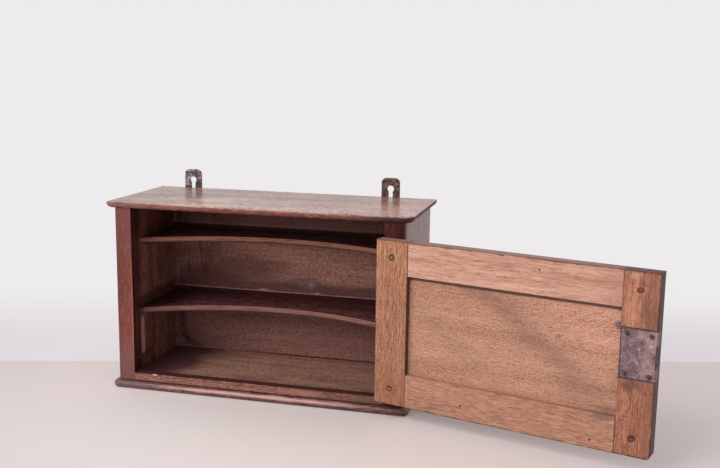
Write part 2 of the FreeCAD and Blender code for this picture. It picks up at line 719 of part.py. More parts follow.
# The bolt, drawn back: a bar with the talon below and a slot that rides on the stud
bolt_bar = door_box(
    (CASE_START + CASE_WALL + BOLT_TAIL_ROOM, DOOR_WIDTH - BOLT_INSET), BOLT_DEPTH, (BOLT_LOW, BOLT_TOP)
)
talon_middle = KEY_ALONG - BOLT_THROW / 2
talon = door_box(
    (talon_middle - TALON_WIDTH / 2, talon_middle + TALON_WIDTH / 2),
    BOLT_DEPTH,
    (BOLT_LOW, BOLT_LOW + TALON_DEPTH),
)
slot_radius = STUD_RADIUS + RUNNING_SLACK
slot_ends = [
    rod(door_point(along, BOLT_DEPTH[0], STUD_HEIGHT), TO_WALL, BOLT_THICKNESS, slot_radius)
    for along in (STUD_ALONG - BOLT_THROW, STUD_ALONG)
]
slot_middle = door_box(
    (STUD_ALONG - BOLT_THROW, STUD_ALONG), BOLT_DEPTH, (STUD_HEIGHT - slot_radius, STUD_HEIGHT + slot_radius)
)
nodes["lock_bolt"] = swing(cut(bolt_bar, talon, join(slot_middle, *slot_ends)))

# A bowed leaf spring between the case and the bolt's upper edge
spring_middle = (CASE_START + CASE_WALL + CASE_END) / 2
spring_depth = (BOLT_DEPTH[0] + BOLT_DEPTH[1] - SPRING_WIDTH) / 2
spring_low = BOLT_TOP + BOLT_SLACK


def spring_arc(rise):
    """One face of the spring, raised by a distance."""
    end_height = CASE_TOP - CASE_WALL - SPRING_THICKNESS + rise
    ends = [
        door_point(spring_middle + hand * SPRING_SPAN / 2, spring_depth, end_height)
        for hand in (-1, 1)
    ]
    middle = door_point(spring_middle, spring_depth, spring_low + rise)
    return Part.Arc(ends[0], middle, ends[1]).toShape()


spring_faces = [spring_arc(0), spring_arc(SPRING_THICKNESS)]
spring_sides = [
    Part.makeLine(spring_faces[0].Vertexes[end].Point, spring_faces[1].Vertexes[end].Point) for end in (0, 1)
]
spring_edges = Part.sortEdges(spring_faces + spring_sides)[0]
nodes["lock_spring"] = swing(outline_prism(spring_edges, TO_WALL * SPRING_WIDTH))

# Key: hollow shank over the post, a flat bit and an oval bow, turned to where the bolt is drawn back
key_end = PLATE_BACK - FIT_SLACK
key_axis = door_point(KEY_ALONG, 0, KEY_HEIGHT)
shank = rod(door_point(KEY_ALONG, key_end, KEY_HEIGHT), TO_FRONT, KEY_SHANK_LENGTH, KEY_SHANK_RADIUS)
bit_middle = (BOLT_DEPTH[0] + BOLT_DEPTH[1]) / 2
bit = door_box(
    (KEY_ALONG - KEY_BIT_THICKNESS / 2, KEY_ALONG + KEY_BIT_THICKNESS / 2),
    (bit_middle - KEY_BIT_LENGTH / 2, bit_middle + KEY_BIT_LENGTH / 2),
    (KEY_HEIGHT, KEY_HEIGHT + KEY_BIT_REACH),
)
bow_middle = key_end - KEY_SHANK_LENGTH - KEY_BOW_HALF_LENGTH + KEY_BOW_BAND / 2


def bow_oval(inset):
    """A flat oval block in the key's bow, made smaller by an inset."""
    side = KEY_BOW_THICKNESS / 2
    centre = door_point(KEY_ALONG - side, bow_middle, KEY_HEIGHT)
    oval = Part.Ellipse(
        centre + UP * (KEY_BOW_HALF_WIDTH - inset),
        centre + TO_WALL * (KEY_BOW_HALF_LENGTH - inset),
        centre,
    )
    return outline_prism([oval.toShape()], TO_LEFT * KEY_BOW_THICKNESS)


bow = cut(bow_oval(0), bow_oval(KEY_BOW_BAND))
pipe = rod(
    door_point(KEY_ALONG, key_end, KEY_HEIGHT), TO_FRONT, KEY_POST_LENGTH, KEY_POST_RADIUS + RUNNING_SLACK
)
key = cut(join(shank, bit, bow), pipe)
key.rotate(key_axis, TO_WALL, KEY_TURN_ANGLE / 2)
nodes["key"] = swing(key)

# The lock stile holds the lock in one stepped recess with a keyhole to the outside
plate_span = grown((LOCK_PLATE_BOTTOM, PLATE_TOP), FIT_SLACK)
case_span = grown((CASE_LOW, CASE_TOP), POCKET_SLACK)
lock_recess = [
    door_box((PLATE_START - FIT_SLACK, DOOR_WIDTH), (PLATE_BACK, INNER_FACE), plate_span),
    door_box((CASE_END, DOOR_WIDTH), (INNER_FACE - SELVEDGE_DEPTH - FIT_SLACK, INNER_FACE), plate_span),
    door_box((CASE_START - POCKET_SLACK, CASE_END), (CASE_FRONT, PLATE_BACK), case_span),
    keyhole((0, CASE_FRONT), KEYHOLE_SLACK),
]
lock_stile = stile_blank((LOCK_STILE_START, DOOR_WIDTH), DOOR_WIDTH, LOCK_STILE_FOOT_RADIUS)
nodes["lock_stile"] = swing(
    cut(
        lock_stile,
        panel_groove,
        *mortises,
        *door_pegs(RUNNING_SLACK),
        *lock_recess,
        *lock_nails(RUNNING_SLACK),
    )
)

for name, shape in nodes.items():
    shape.exportStep("parts/%s.step" % name)
print("pieces written:", len(nodes))
print("bolt throw %.3f mm over %.1f degrees" % (BOLT_THROW, KEY_TURN_ANGLE))
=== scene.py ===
# %% [markdown]
# A small oak hanging cabinet, dressed for its picture. Every board, hinge and lock piece comes
# from the CAD pack at its real size, so this lesson gives them their looks: the stain, the grain,
# the wear of a century of hands, and a few worked details such as pegs, nail heads and screws.
# We start by loading the pack. Nothing we add may leave that box.

import json
import math
import random
from functools import cached_property

import bmesh
import bpy
from mathutils import Matrix, Vector


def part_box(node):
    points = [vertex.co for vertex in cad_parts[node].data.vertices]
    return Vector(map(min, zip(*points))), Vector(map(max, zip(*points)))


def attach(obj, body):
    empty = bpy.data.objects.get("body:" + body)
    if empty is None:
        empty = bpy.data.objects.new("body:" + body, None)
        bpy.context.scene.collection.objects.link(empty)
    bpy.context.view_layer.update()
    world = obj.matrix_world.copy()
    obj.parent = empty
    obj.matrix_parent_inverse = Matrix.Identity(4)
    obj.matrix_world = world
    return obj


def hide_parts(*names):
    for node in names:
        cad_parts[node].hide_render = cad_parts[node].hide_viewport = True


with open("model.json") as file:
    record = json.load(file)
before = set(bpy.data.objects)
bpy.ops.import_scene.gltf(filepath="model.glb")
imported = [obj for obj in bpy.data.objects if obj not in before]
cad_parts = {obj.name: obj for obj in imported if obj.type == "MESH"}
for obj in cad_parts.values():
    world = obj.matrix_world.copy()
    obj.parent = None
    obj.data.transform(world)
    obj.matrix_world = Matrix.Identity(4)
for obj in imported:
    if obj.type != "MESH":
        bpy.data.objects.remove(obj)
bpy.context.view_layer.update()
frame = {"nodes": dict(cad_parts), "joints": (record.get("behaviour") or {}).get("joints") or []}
nodes = frame["nodes"]

# %% [markdown]
# The camera stands where the photographer stood. Its place and turn were worked out from the
# corners of the carcass and the door in the picture, so they are plain numbers here. A camera in
# Blender looks along its own -Z, which is why the pitch is counted from straight down.

# %% The camera
PICTURE_WIDTH = 720
FOCAL_PIXELS = 979.4
SENSOR_WIDTH = 36.0
CAMERA_PLACE = (0.5540, -1.5741, 0.5651)
CAMERA_YAW = math.radians(14.414)
CAMERA_PITCH = math.radians(10.175)
CAMERA_ROLL = math.radians(0.785)


def placed(name, data):
    """A new object, linked into the scene."""
    thing = bpy.data.objects.new(name, data)
    bpy.context.scene.collection.objects.link(thing)
    return thing


camera = placed("camera", bpy.data.cameras.new("camera"))
camera.data.sensor_fit = "HORIZONTAL"
camera.data.sensor_width = SENSOR_WIDTH
camera.data.lens = FOCAL_PIXELS / PICTURE_WIDTH * SENSOR_WIDTH
turn = Matrix.Rotation(CAMERA_YAW, 4, "Z")
tilt = Matrix.Rotation(math.pi / 2 - CAMERA_PITCH, 4, "X")
roll = Matrix.Rotation(CAMERA_ROLL, 4, "Z")
camera.matrix_world = Matrix.Translation(CAMERA_PLACE) @ turn @ tilt @ roll
bpy.context.scene.camera = camera
print("lens:", round(camera.data.lens, 2), "mm")

# %% [markdown]
# Materials are node trees, and a long tree is easier to read as arithmetic. The class below wraps
# one socket: adding or multiplying two of them places a Math node, so `1 - mask` means what it
# says. A plain pair of functions could do the same, but the sums would read inside out.

# %% Sockets that add up
class Wire:
    """One socket of a material; sums and products of wires become Math nodes."""

    def __init__(self, finish, socket):
        self.finish = finish
        self.socket = socket

    def maths(self, operation, first, second=0.0):
        return self.finish.node("Math", {0: first, 1: second}, operation=operation)

    def __add__(self, other):
        return self.maths("ADD", self, other)

    def __sub__(self, other):
        return self.maths("SUBTRACT", self, other)

    def __rsub__(self, other):
        return self.maths("SUBTRACT", other, self)

    def __mul__(self, other):
        return self.maths("MULTIPLY", self, other)

    def __abs__(self):
        return self.maths("ABSOLUTE", self)

    __radd__ = __add__
    __rmul__ = __mul__

    def at_least(self, other):
        return self.maths("MAXIMUM", self, other)

    def at_most(self, other):
        return self.maths("MINIMUM", self, other)


# %% [markdown]
# A finish is one material while it is being built. Every node comes from `node`, which sets the
# node's settings first and then fills or links its sockets. The other methods are the few things
# that all the finishes here need: soft noise, soft steps, layers of colour and the final surface.
# Wires carry metres, as Blender does, but a maker thinks in millimetres, so sizes are given in those.

# %% Sizes and colours
MM = 0.001


def tint(red, green, blue):
    """A colour read from a paint card, 0 to 255, as the linear values that a shader wants."""
    parts = [part / 255 for part in (red, green, blue)]
    return (*[p / 12.92 if p < 0.04 else ((p + 0.055) / 1.055) ** 2.4 for p in parts], 1.0)


print("half of a paint card's white is", round(tint(128, 128, 128)[0], 3), "to a shader")

# %% A finish under construction
NOISE_SHIFT = (3.17, 5.71, 2.39)


class Finish:
    """A material under construction; stains add to its colour, and only where reach is 1."""

    reach = None

    def __init__(self, name, world=None):
        self.holder = world or bpy.data.materials.new(name)
        self.holder.use_nodes = True
        self.tree = self.holder.node_tree
        self.tree.nodes.clear()

    @cached_property
    def place(self):
        """The point being shaded, in the cabinet's frame."""
        return self.node("TexCoord", output="Object")

    @cached_property
    def spot(self):
        """The same point as the noise sees it; a board counts it from its own corner."""
        return self.place

    def node(self, kind, inputs=None, output=0, **settings):
        made = self.tree.nodes.new("ShaderNode" + kind)
        for name, value in settings.items():
            if name == "stops":
                self.set_stops(made.color_ramp, value)
            else:
                setattr(made, name, value)
        for name, value in (inputs or {}).items():
            if isinstance(value, Wire):
                self.tree.links.new(value.socket, made.inputs[name])
            else:
                made.inputs[name].default_value = value
        return Wire(self, made.outputs[output]) if made.outputs else None

    def set_stops(self, ramp, stops):
        while len(ramp.elements) < len(stops):
            ramp.elements.new(1.0)
        for element, (position, colour) in zip(ramp.elements, stops):
            element.position = position
            element.color = colour

    def vector(self, operation, *inputs, output=0):
        return self.node("VectorMath", dict(enumerate(inputs)), output, operation=operation)

    def project(self, direction):
        """How far the point lies along a direction."""
        return self.vector("DOT_PRODUCT", self.place, direction, output="Value")

    def point(self, *parts):
        return self.node("CombineXYZ", dict(enumerate(parts)))

    def apart(self, first, second):
        return self.vector("DISTANCE", first, second, output="Value")

    def fade(self, value, start, end):
        """0 before start, 1 after end, and a soft step between; start may be the larger one."""
        if start > end:
            return 1 - self.fade(value, end, start)
        inputs = {"Value": value, "From Min": start, "From Max": end}
        return self.node("MapRange", inputs, interpolation_type="SMOOTHSTEP")

    def step(self, distance, start, end):
        """The same soft step for a distance, between two places in millimetres."""
        return self.fade(distance, start * MM, end * MM)

    def from_line(self, distance, line):
        """How far a distance is from a line, on either side of it."""
        return abs(distance - line * MM)

    def cloud(self, size, seed, detail=2.0, grit=0.5):
        """Soft noise about 0; size is how long and wide its patches are, and how deep if that differs."""
        scale = [1 / (side * MM) for side in (*size, size[-1])[:3]]
        shift = [seed * part for part in NOISE_SHIFT]
        cells = self.vector("MULTIPLY_ADD", self.spot, scale, shift)
        inputs = {"Vector": cells, "Scale": 1.0, "Detail": detail, "Roughness": grit}
        return self.node("TexNoise", inputs) - 0.5

    def spots(self, size, seed, start, end, detail=3.0, grit=0.5):
        """Scattered patches: 0 where the noise is below start, 1 where it is above end."""
        return self.fade(self.cloud(size, seed, detail, grit), start, end)

    def wander(self, distance, by, size, seed, detail=3.0, grit=0.5):
        """A distance that wanders by some millimetres, which makes a line uneven."""
        return distance + self.cloud(size, seed, detail, grit) * (by * MM)

    def mixed(self, share, first, second, mode="MIX"):
        inputs = {0: share, 6: first, 7: second}
        return self.node("Mix", inputs, output=2, data_type="RGBA", blend_type=mode)

    def lay(self, share, colour, mode="MIX"):
        held = share if self.reach is None else self.reach * share
        self.colour = self.mixed(held, self.colour, colour, mode)

    def stain(self, share, colour):
        """Covers the finish with a paint-card colour; share is how much of it covers."""
        self.lay(share, tint(*colour))

    def wash(self, share, factors):
        """Multiplies red, green and blue, which brightens, darkens or shifts the finish."""
        self.lay(share, (*factors, 1.0), "MULTIPLY")

    def surface(self, roughness, height, depth, gloss=0.5, shine=0.0):
        """The finished surface; depth is the height of its bumps and shine is how metallic it is."""
        bump = self.node("Bump", {"Height": height, "Distance": depth * MM})
        inputs = {"Base Color": self.colour, "Roughness": roughness, "Normal": bump}
        inputs.update({"Specular IOR Level": gloss, "Metallic": shine})
        shader = self.node("BsdfPrincipled", inputs)
        self.node("OutputMaterial", {"Surface": shader})
        return self.holder


# %% [markdown]
# The stage is a pale floor under soft light. One broad lamp stands to the left, in front and above,
# where a window would be; the world fills the shadows. What the camera and the polish see of the
# world is paler than the light that it gives, which the Light Path node can tell apart. The floor
# carries a faint change of tone behind the cabinet, as a table does against a wall, and the wall
# tone is painted darker towards its foot, a painted shade.

# %% World and lamp
SEEING_RAYS = ("Camera", "Glossy", "Transmission")
FILL_LIGHT = 0.72
LAMP_PLACE = Vector((-1.10, -2.05, 1.75))
LAMP_AIM = Vector((0.15, 0.0, 0.15))
LAMP_SIZE = 1.8
LAMP_POWER = 44.0
WALL_TONE = tint(238, 235, 236)

bpy.context.scene.view_settings.view_transform = "Standard"

world = bpy.data.worlds.new("pale_room")
bpy.context.scene.world = world
room = Finish(world.name, world)
looks, shines, passes = [room.node("LightPath", output=f"Is {kind} Ray") for kind in SEEING_RAYS]
seen = (looks + shines + passes).at_most(1.0)
strength = FILL_LIGHT + seen * (1.0 - FILL_LIGHT)
glow = room.node("Background", {"Color": WALL_TONE, "Strength": strength})
room.node("OutputWorld", {"Surface": glow})

lamp = placed("window_lamp", bpy.data.lights.new("window_lamp", "AREA"))
lamp.data.size = LAMP_SIZE
lamp.data.energy = LAMP_POWER
lamp.location = LAMP_PLACE
lamp.rotation_euler = (LAMP_AIM - LAMP_PLACE).to_track_quat("-Z", "Y").to_euler()
print("lamp", round((LAMP_AIM - LAMP_PLACE).length, 2), "m away")

# %% The floor
FLOOR_REACH = 30.0
TABLE_EDGE = 1.782
TABLE_TURN = math.radians(2.2)
EDGE_BLUR = 0.003
WALL_RISE = 0.6
WALL_FOOT_SHADE = tint(219, 212, 217)
TABLE_TONE = tint(207, 195, 195)
TABLE_PAINT = tint(242, 232, 229)
WALL_PAINT = tint(250, 246, 248)
STAGE_MIDDLE = (0.20, -0.10, 0.0)
SHADOW_REACH, OPEN_REACH = 0.25, 1.00


def mesh_piece(name, shape):
    """An object from a bmesh whose corners are already in the cabinet's frame."""
    mesh = bpy.data.meshes.new(name)
    shape.to_mesh(mesh)
    shape.free()
    return placed(name, mesh)


sheet = bmesh.new()
bmesh.ops.create_grid(sheet, x_segments=1, y_segments=1, size=FLOOR_REACH)
floor = mesh_piece("floor", sheet)

plaster = Finish("pale_floor")
table_turn = CAMERA_YAW + TABLE_TURN
view_line = Vector((-math.sin(table_turn), math.cos(table_turn), 0.0))
away = plaster.project(view_line)
table_end = TABLE_EDGE + Vector(CAMERA_PLACE).dot(view_line)
behind = plaster.fade(away, table_end - EDGE_BLUR, table_end + EDGE_BLUR)
mottle = plaster.cloud((300, 300), 1) * 0.1 + plaster.cloud((4, 4), 2) * 0.05
paint = plaster.mixed(abs(mottle), plaster.mixed(behind, TABLE_PAINT, WALL_PAINT), TABLE_TONE)
# Painted shade: the wall tone darkens towards its foot, at the table line.
wall = plaster.mixed(plaster.fade(away, table_end, table_end + WALL_RISE), WALL_FOOT_SHADE, WALL_TONE)
tone = plaster.mixed(behind, TABLE_TONE, wall)
matt = plaster.node("BsdfDiffuse", {"Color": paint})
lit = plaster.node("Emission", {"Color": tone})
first_hit = plaster.node("LightPath", output="Is Camera Ray")
far = plaster.fade(plaster.apart(plaster.spot, STAGE_MIDDLE), SHADOW_REACH, OPEN_REACH) * first_hit
shown = plaster.node("MixShader", {0: far, 1: matt, 2: lit})
plaster.node("OutputMaterial", {"Surface": shown})
floor.data.materials.append(plaster.holder)
print("table ends", round(table_end, 3), "m behind the middle")

# %% [markdown]
# Oak only looks right when its grain runs the long way of each board, so every board carries its
# own axes: along the grain, across it and through the board. A board's finish measures from its own
# lower end, edge and face. That makes a stain easy to place: 60 mm along, 9 mm across. It also tells
# how near the closest arris is, and that is where the rubbing of hands wears the stain.

# %% The directions of the boards
RIGHT, BACK, UP = Vector((1, 0, 0)), Vector((0, 1, 0)), Vector((0, 0, 1))
hinge = next(joint for joint in frame["joints"] if joint["name"] == "door_hinge")
swing = Matrix.Rotation(-math.radians(hinge["range_deg"][0]), 3, "Z")
DOOR_ALONG = swing @ -RIGHT
DOOR_DEEP = swing @ BACK

LYING = (RIGHT, BACK, UP)
STANDING_SIDE = (UP, BACK, RIGHT)
STANDING_FRONT = (UP, RIGHT, BACK)
LEVEL_FRONT = (RIGHT, UP, BACK)
FRONT_TO_BACK = (BACK, UP, RIGHT)
DOOR_STILE = (UP, DOOR_ALONG, DOOR_DEEP)
DOOR_RAIL = (DOOR_ALONG, UP, DOOR_DEEP)


def extent(names, direction):
    """The lowest and highest reach of some pieces along a direction."""
    values = [vertex.co.dot(direction) for name in names for vertex in nodes[name].data.vertices]
    return min(values), max(values)


print("the drawn door stands", round(-hinge["range_deg"][0], 1), "degrees open")

# %% Boards that know their own axes
RING_LENGTH = 400
TONE_STOPS = (0.15, 0.5, 0.85)
FIBRE, PORE, GRAIN_GRIT = (30, 1), (7, 1.4), (2.2, 1.8)


def dress(name, material):
    """Puts a material on a piece of the pack."""
    nodes[name].material_slots[0].material = material


class Board(Finish):
    """The finish of one board, which measures from the board's lower end, edge and face."""

    def __init__(self, name, axes):
        super().__init__(name + "_oak")
        self.name = name
        spans = []
        self.sizes = []
        for direction in axes:
            low, high = extent([name], direction)
            spans.append(self.project(direction) - low)
            self.sizes.append(high - low)
        self.length, self.width, self.depth = spans
        self.spot = self.point(*spans)
        ends, sides, faces = [span.at_most(size - span) for span, size in zip(spans, self.sizes)]
        self.arris = ends.at_most(sides).at_least(ends.at_least(sides).at_most(faces))

    def along(self, start, end):
        """A soft step along the grain, and below it the same across and through the board."""
        return self.step(self.length, start, end)

    def across(self, start, end):
        return self.step(self.width, start, end)

    def deep(self, start, end):
        return self.step(self.depth, start, end)

    def grain(self, seed, tones, ring, streak, strength=1.0, grit=0.0):
        """Oak figure in a dark, a middle and a light tone: rings, streaks, fibres, pores and grit."""
        dark, middle, light = [tint(*tone) for tone in tones]
        rings = self.cloud((RING_LENGTH, ring), seed)
        streaks = self.cloud(streak, seed + 1, 1.0)
        self.fibres = self.cloud(FIBRE, seed + 2)
        self.pores = self.spots(PORE, seed + 3, 0.08, 0.17, 1.0)
        tone = 0.5 + strength * (rings * 0.5 + streaks + self.fibres * 0.6)
        if grit:
            tone = tone + self.cloud(GRAIN_GRIT, seed + 4, 1.0) * grit
        stops = list(zip(TONE_STOPS, (dark, middle, light)))
        figure = self.node("ValToRGB", {"Fac": tone}, stops=stops)
        self.colour = self.mixed(self.pores * (0.45 * strength), figure, dark)

    def keep_to(self, reach):
        """Later stains stay where reach is 1, for instance on one face of the board."""
        self.reach = reach

    def patch(self, centre, radii, ragged, seed, core=0.3):
        """A spot on the board's face: 1 inside, fading to 0 at its radii, with a ragged rim."""
        long, wide = radii
        scale = (1 / (long * MM), 1 / (wide * MM), 0.0)
        shift = (-centre[0] / long, -centre[1] / wide, 0.0)
        cells = self.vector("MULTIPLY_ADD", self.spot, scale, shift)
        reach = self.vector("LENGTH", cells, output="Value")
        rim = reach + self.cloud((long, wide * 0.6), seed, 3.0) * ragged
        return self.fade(rim, 1.0, core)

    def smudge(self, centre, radii, ragged, seed, share, colour, core=0.3):
        self.stain(self.patch(centre, radii, ragged, seed, core) * share, colour)

    def rubbed(self, seed, reach=4):
        """Where hands have worn the arrises, in an uneven line."""
        return self.step(self.wander(self.arris, 2.5 * reach, (25, 6), seed), reach, 0.0)

    def done(self, roughness, bumps=0.2, gloss=0.5):
        """Closes the finish and puts it on the board."""
        dress(self.name, self.surface(roughness, self.fibres * 0.6 - self.pores, bumps, gloss))
        print(self.name, "finished,", "x".join(f"{size * 1000:.0f}" for size in self.sizes), "mm")


# %% [markdown]
# The top board is the most polished piece: it shows the pale room and a smear of the hanging plates.
# Polish on old oak is a thin even film, so a low roughness with a slow variation is enough. The edge
# below the arris kept more of the red stain, and the arris itself is rubbed pale in places.

# %% The top board
# A near-black for painted shade under overhangs and in creases.
SHADE_BLACK = (30, 14, 12)
RED_STAIN = (122, 66, 56)
TOP_TONES = ((70, 36, 28), (150, 102, 84), (190, 142, 122))

top = Board("top_board", LYING)
top.grain(3, TOP_TONES, ring=20, streak=(6, 2.2), strength=1.5)
clouds = top.cloud((100, 50), 8, 4.0, 0.6)
top.stain(top.fade(clouds, 0.0, 0.2) * 0.6, (98, 58, 46))
top.stain(top.fade(clouds, -0.02, -0.2) * 0.6, (204, 162, 142))
sunlit = top.across(110, 20) * top.along(20, 160)
top.wash(sunlit, (1.45, 1.65, 1.75))
# Painted sheen: the right end of the top board is lightened.
top.wash(top.along(340, 460), (1.34, 1.39, 1.44))
top.stain(top.across(4, 1) * 0.40, (138, 108, 102))
ragged_edge = top.wander(top.depth, 4, (40, 10), 11)
below_arris = top.deep(10.5, 8.5)
left_end = top.along(220, 40)
right_end = top.along(400, 490)
top.stain(top.step(ragged_edge, 10, 7), RED_STAIN)
top.stain(below_arris * left_end * 0.6, (132, 98, 94))
# Painted shade: the underside and the lowest millimetres of the front edge are darkened.
top.stain(top.step(ragged_edge, 4, 1) * 0.7, SHADE_BLACK)
flecks = top.cloud((10, 2.6), 13, 3.0, 0.6)
top.stain(top.fade(flecks, 0.02, 0.14) * below_arris * 0.55, (186, 112, 82))
top.stain(top.fade(flecks, -0.03, -0.15) * below_arris * 0.6, (64, 28, 24))
top.stain(below_arris * right_end * 0.85, (40, 17, 15))
polish = 0.23 + below_arris * 0.39 + top.cloud((80, 30), 12) * 0.2
top.done(polish, bumps=0.12)

# %% [markdown]
# The base board ends in a half-round nose. It is darker than the top, because wax and dust have
# gathered in it. Its shine draws one bright line along the nose, so the curve of the solid does the
# work; the finish is smooth enough to show it, and a pale band painted along the crest is a painted
# highlight. The left end is painted grey-violet, a painted sheen, and the lower half of the nose is
# painted darker, a painted shade.

# %% The base board
BASE_TONES = ((54, 26, 25), (112, 66, 60), (150, 100, 88))
NOSE_CREST = 9.5

base = Board("base_board", LYING)
base.grain(21, BASE_TONES, ring=16, streak=(12, 2.2), strength=1.5)
# Painted sheen: the left end is tinted grey-violet.
base.stain(base.along(110, 10) * 0.6, (96, 74, 86))
crest = base.wander(base.from_line(base.depth, NOSE_CREST), 6, (30, 10), 24)
# Painted highlight: a pale band along the crest of the nose.
nose_highlight = base.step(crest, 4, 0.6) * base.along(60, 150) * base.along(470, 360)
base.stain(nose_highlight * 0.75, (206, 161, 152))
# Painted shade: the lower half of the nose is darkened.
base.stain(base.deep(5, 1.5) * 0.6, (64, 32, 34))
# Painted shade in the crease where the rail stands on the base.
rail_crease_shade = base.across(6.2, 9) * base.deep(11.2, 12.6)
base.stain(rail_crease_shade * 0.8, SHADE_BLACK)
base.done(0.36 + base.cloud((50, 20), 25) * 0.3, bumps=0.12)

# %% [markdown]
# The front of the carcass is two upright stiles and a low rail. They were stained red, and the years
# turned the stain violet at the ends and orange where the door and hands rubbed it. The left stile is
# painted nearly black on the side of its mouth, a painted shade; the right one shines only outside,
# where its face is also painted paler, a painted sheen; the rail is chipped, and painted dark along its
# foot, a painted shade.
# All this could be painted by hand on an image, but soft steps need none, and they are measured from
# the board's own ends and edges, so they follow it.

# %% The left front stile
LEFT_TONES = ((60, 21, 18), (108, 45, 37), (142, 73, 57))

left = Board("left_front_stile", STANDING_FRONT)
left.grain(31, LEFT_TONES, ring=10, streak=(8, 1.9), strength=0.85)
left.stain(left.along(200, 290) * 0.4, (112, 60, 58))
left.wash(left.along(160, 90), (1.34, 1.24, 1.14))
left.stain(left.along(100, 30) * 0.65, (118, 79, 77))
foot_streaks = left.spots((30, 3), 37, 0.0, 0.16)
left.stain(foot_streaks * left.along(70, 15) * 0.6, (76, 46, 48))
hand_worn = left.across(25.6, 27.2) * left.patch((120, 28), (110, 18), 1.2, 35)
left.stain(hand_worn * 0.7, (176, 104, 74))
# Painted shade: the face of the stile towards the mouth is made nearly black.
mouth_side_shade = left.across(27.2, 28) * left.deep(0.5, 1.5)
left.stain(mouth_side_shade, (56, 22, 18))
left.done(0.42 + left.cloud((50, 10), 36) * 0.3)

# %% The right front stile
RIGHT_TONES = ((40, 12, 12), (76, 27, 25), (106, 50, 43))

right = Board("right_front_stile", STANDING_FRONT)
right.grain(41, RIGHT_TONES, ring=10, streak=(10, 1.9), strength=1.2)
right.stain(right.across(16, 30) * 0.5, (48, 18, 17))
right.stain(right.rubbed(44, 2) * 0.4, (120, 70, 56))
outer_face = right.across(33.2, 33.8)
# Painted sheen: the outer face is washed a paler grey.
right.wash(outer_face, (1.9, 2.4, 2.4))
right.stain(right.across(31.2, 32.8) * 0.5, (128, 92, 84))
dullness = 0.62 - outer_face * 0.38 + right.cloud((50, 10), 46) * 0.2
right.done(dullness, gloss=0.2)

# %% The bottom rail
RAIL_TONES = ((76, 40, 34), (148, 97, 85), (192, 138, 120))

rail = Board("bottom_rail", LEVEL_FRONT)
rail.grain(51, RAIL_TONES, ring=8, streak=(7, 1.9))
rail.stain(rail.along(220, 430) * 0.5, (96, 54, 47))
chipped = rail.wander(rail.width, 6, (20, 8), 52, 4.0, 0.6)
rail.stain(rail.step(chipped, 11.8, 13.2) * 0.8, (66, 34, 28))
rail.stain(rail.deep(1, 3) * 0.9, (72, 37, 30))
fresh_chip = rail.patch((38, 13.2), (6, 2.2), 0.8, 53) * rail.deep(3, 0.8)
rail.stain(fresh_chip, (205, 178, 158))
rail.smudge((300, 7), (50, 6), 1.2, 54, 0.6, (178, 120, 98))
# Painted shade along the foot of the rail, in its crease with the base.
rail.stain(rail.across(2.6, 0.6) * 0.8, SHADE_BLACK)
rail.done(0.46 + rail.cloud((50, 10), 56) * 0.3)

# %% [markdown]
# The two sides have two looks each: stained and polished outside, brown and bare inside. One finish
# does both, because a board's depth tells which face is being shaded. The outside is seen almost
# edge on, where its film shines grey. Inside, the wall is darker in a band round the shelf and redder
# behind the stile; towards the top and in the low front corner it is painted darker, a painted shade.

# %% The two sides
SIDE_TONES = ((70, 34, 26), (128, 78, 64), (164, 112, 94))
SHELF_LINE = 124
SHELF_FRONT = 38

for name, seed, outer_first in (("left_side", 61, True), ("right_side", 71, False)):
    side = Board(name, STANDING_SIDE)
    side.grain(seed, SIDE_TONES, ring=14, streak=(8, 2.2), strength=1.4)
    outside = side.step(side.depth if outer_first else side.sizes[2] - side.depth, 1.5, 0.5)
    side.stain(outside * 0.5, (108, 62, 52))
    side.stain(outside * side.spots((140, 50), seed + 9, 0.0, 0.2) * 0.5, (84, 46, 40))
    side.stain(outside * side.rubbed(seed + 5) * 0.6, (160, 108, 90))
    inside = 1 - outside
    at_shelf = side.step(side.from_line(side.length, SHELF_LINE), 16, 6) * inside
    side.stain(at_shelf * 0.7, (48, 24, 24))
    damp = side.spots((100, 50), seed + 6, 0.02, 0.22) * inside
    side.stain(damp * 0.7, (58, 30, 25))
    side.stain(inside * side.across(62, 34) * 0.75, (92, 40, 32))
    shelf_ends = side.wander(side.from_line(side.width, SHELF_FRONT), 8, (30, 6), seed + 3)
    side.stain(inside * side.step(shelf_ends, 7, 1) * 0.55, (40, 14, 13))
    # Painted shade: the inside darkens towards the top, under the top board.
    side.wash(inside * side.along(225, 245), (0.70, 0.56, 0.62))
    # Painted shade in the low front corner of the inside.
    low_front_shade = inside * side.along(62, 34) * side.across(110, 60)
    side.wash(low_front_shade, (0.76, 0.52, 0.56))
    dust = side.spots((5, 60), seed + 8, 0.0, 0.16)
    side.stain(dust * inside * side.along(50, 6) * 0.5, (132, 100, 104))
    side.done(0.56 - outside * 0.32 + side.cloud((60, 20), seed + 7) * 0.2)

# %% [markdown]
# The back is two level boards. Their joint shows as a pale line behind the middle shelf, with a few
# split fibres, and old damp has left violet and dark tide marks on both. Tide marks are soft patches
# with ragged rims; the one at the lower left ran down and turned aside, so it is a line at one
# distance from a centre, with the part above that centre pulled straight up.

# %% What both back boards share
WALL_SIDE_FACTORS = tint(232, 222, 214)[:3]
DAMP = (68, 31, 31)
PALE_SPLIT = (176, 146, 126)


def weather_back(board, seed):
    """The rough side that faced the wall: saw lines across the grain, dust and dark ends."""
    board.keep_to(board.deep(3.5, 6))
    board.wash(1.0, WALL_SIDE_FACTORS)
    board.stain(board.spots((2.2, 60), seed, 0.02, 0.16, 2.0) * 0.35, (94, 66, 56))
    board.stain(board.spots((140, 60), seed + 1, -0.04, 0.2, 4.0, 0.6) * 0.45, (150, 126, 112))
    board.stain(board.rubbed(seed + 2, 6) * 0.5, (70, 44, 38))


# %% The upper back board
UPPER_BACK_TONES = ((90, 54, 47), (161, 113, 100), (195, 150, 132))
PALE_LINE = 121.5

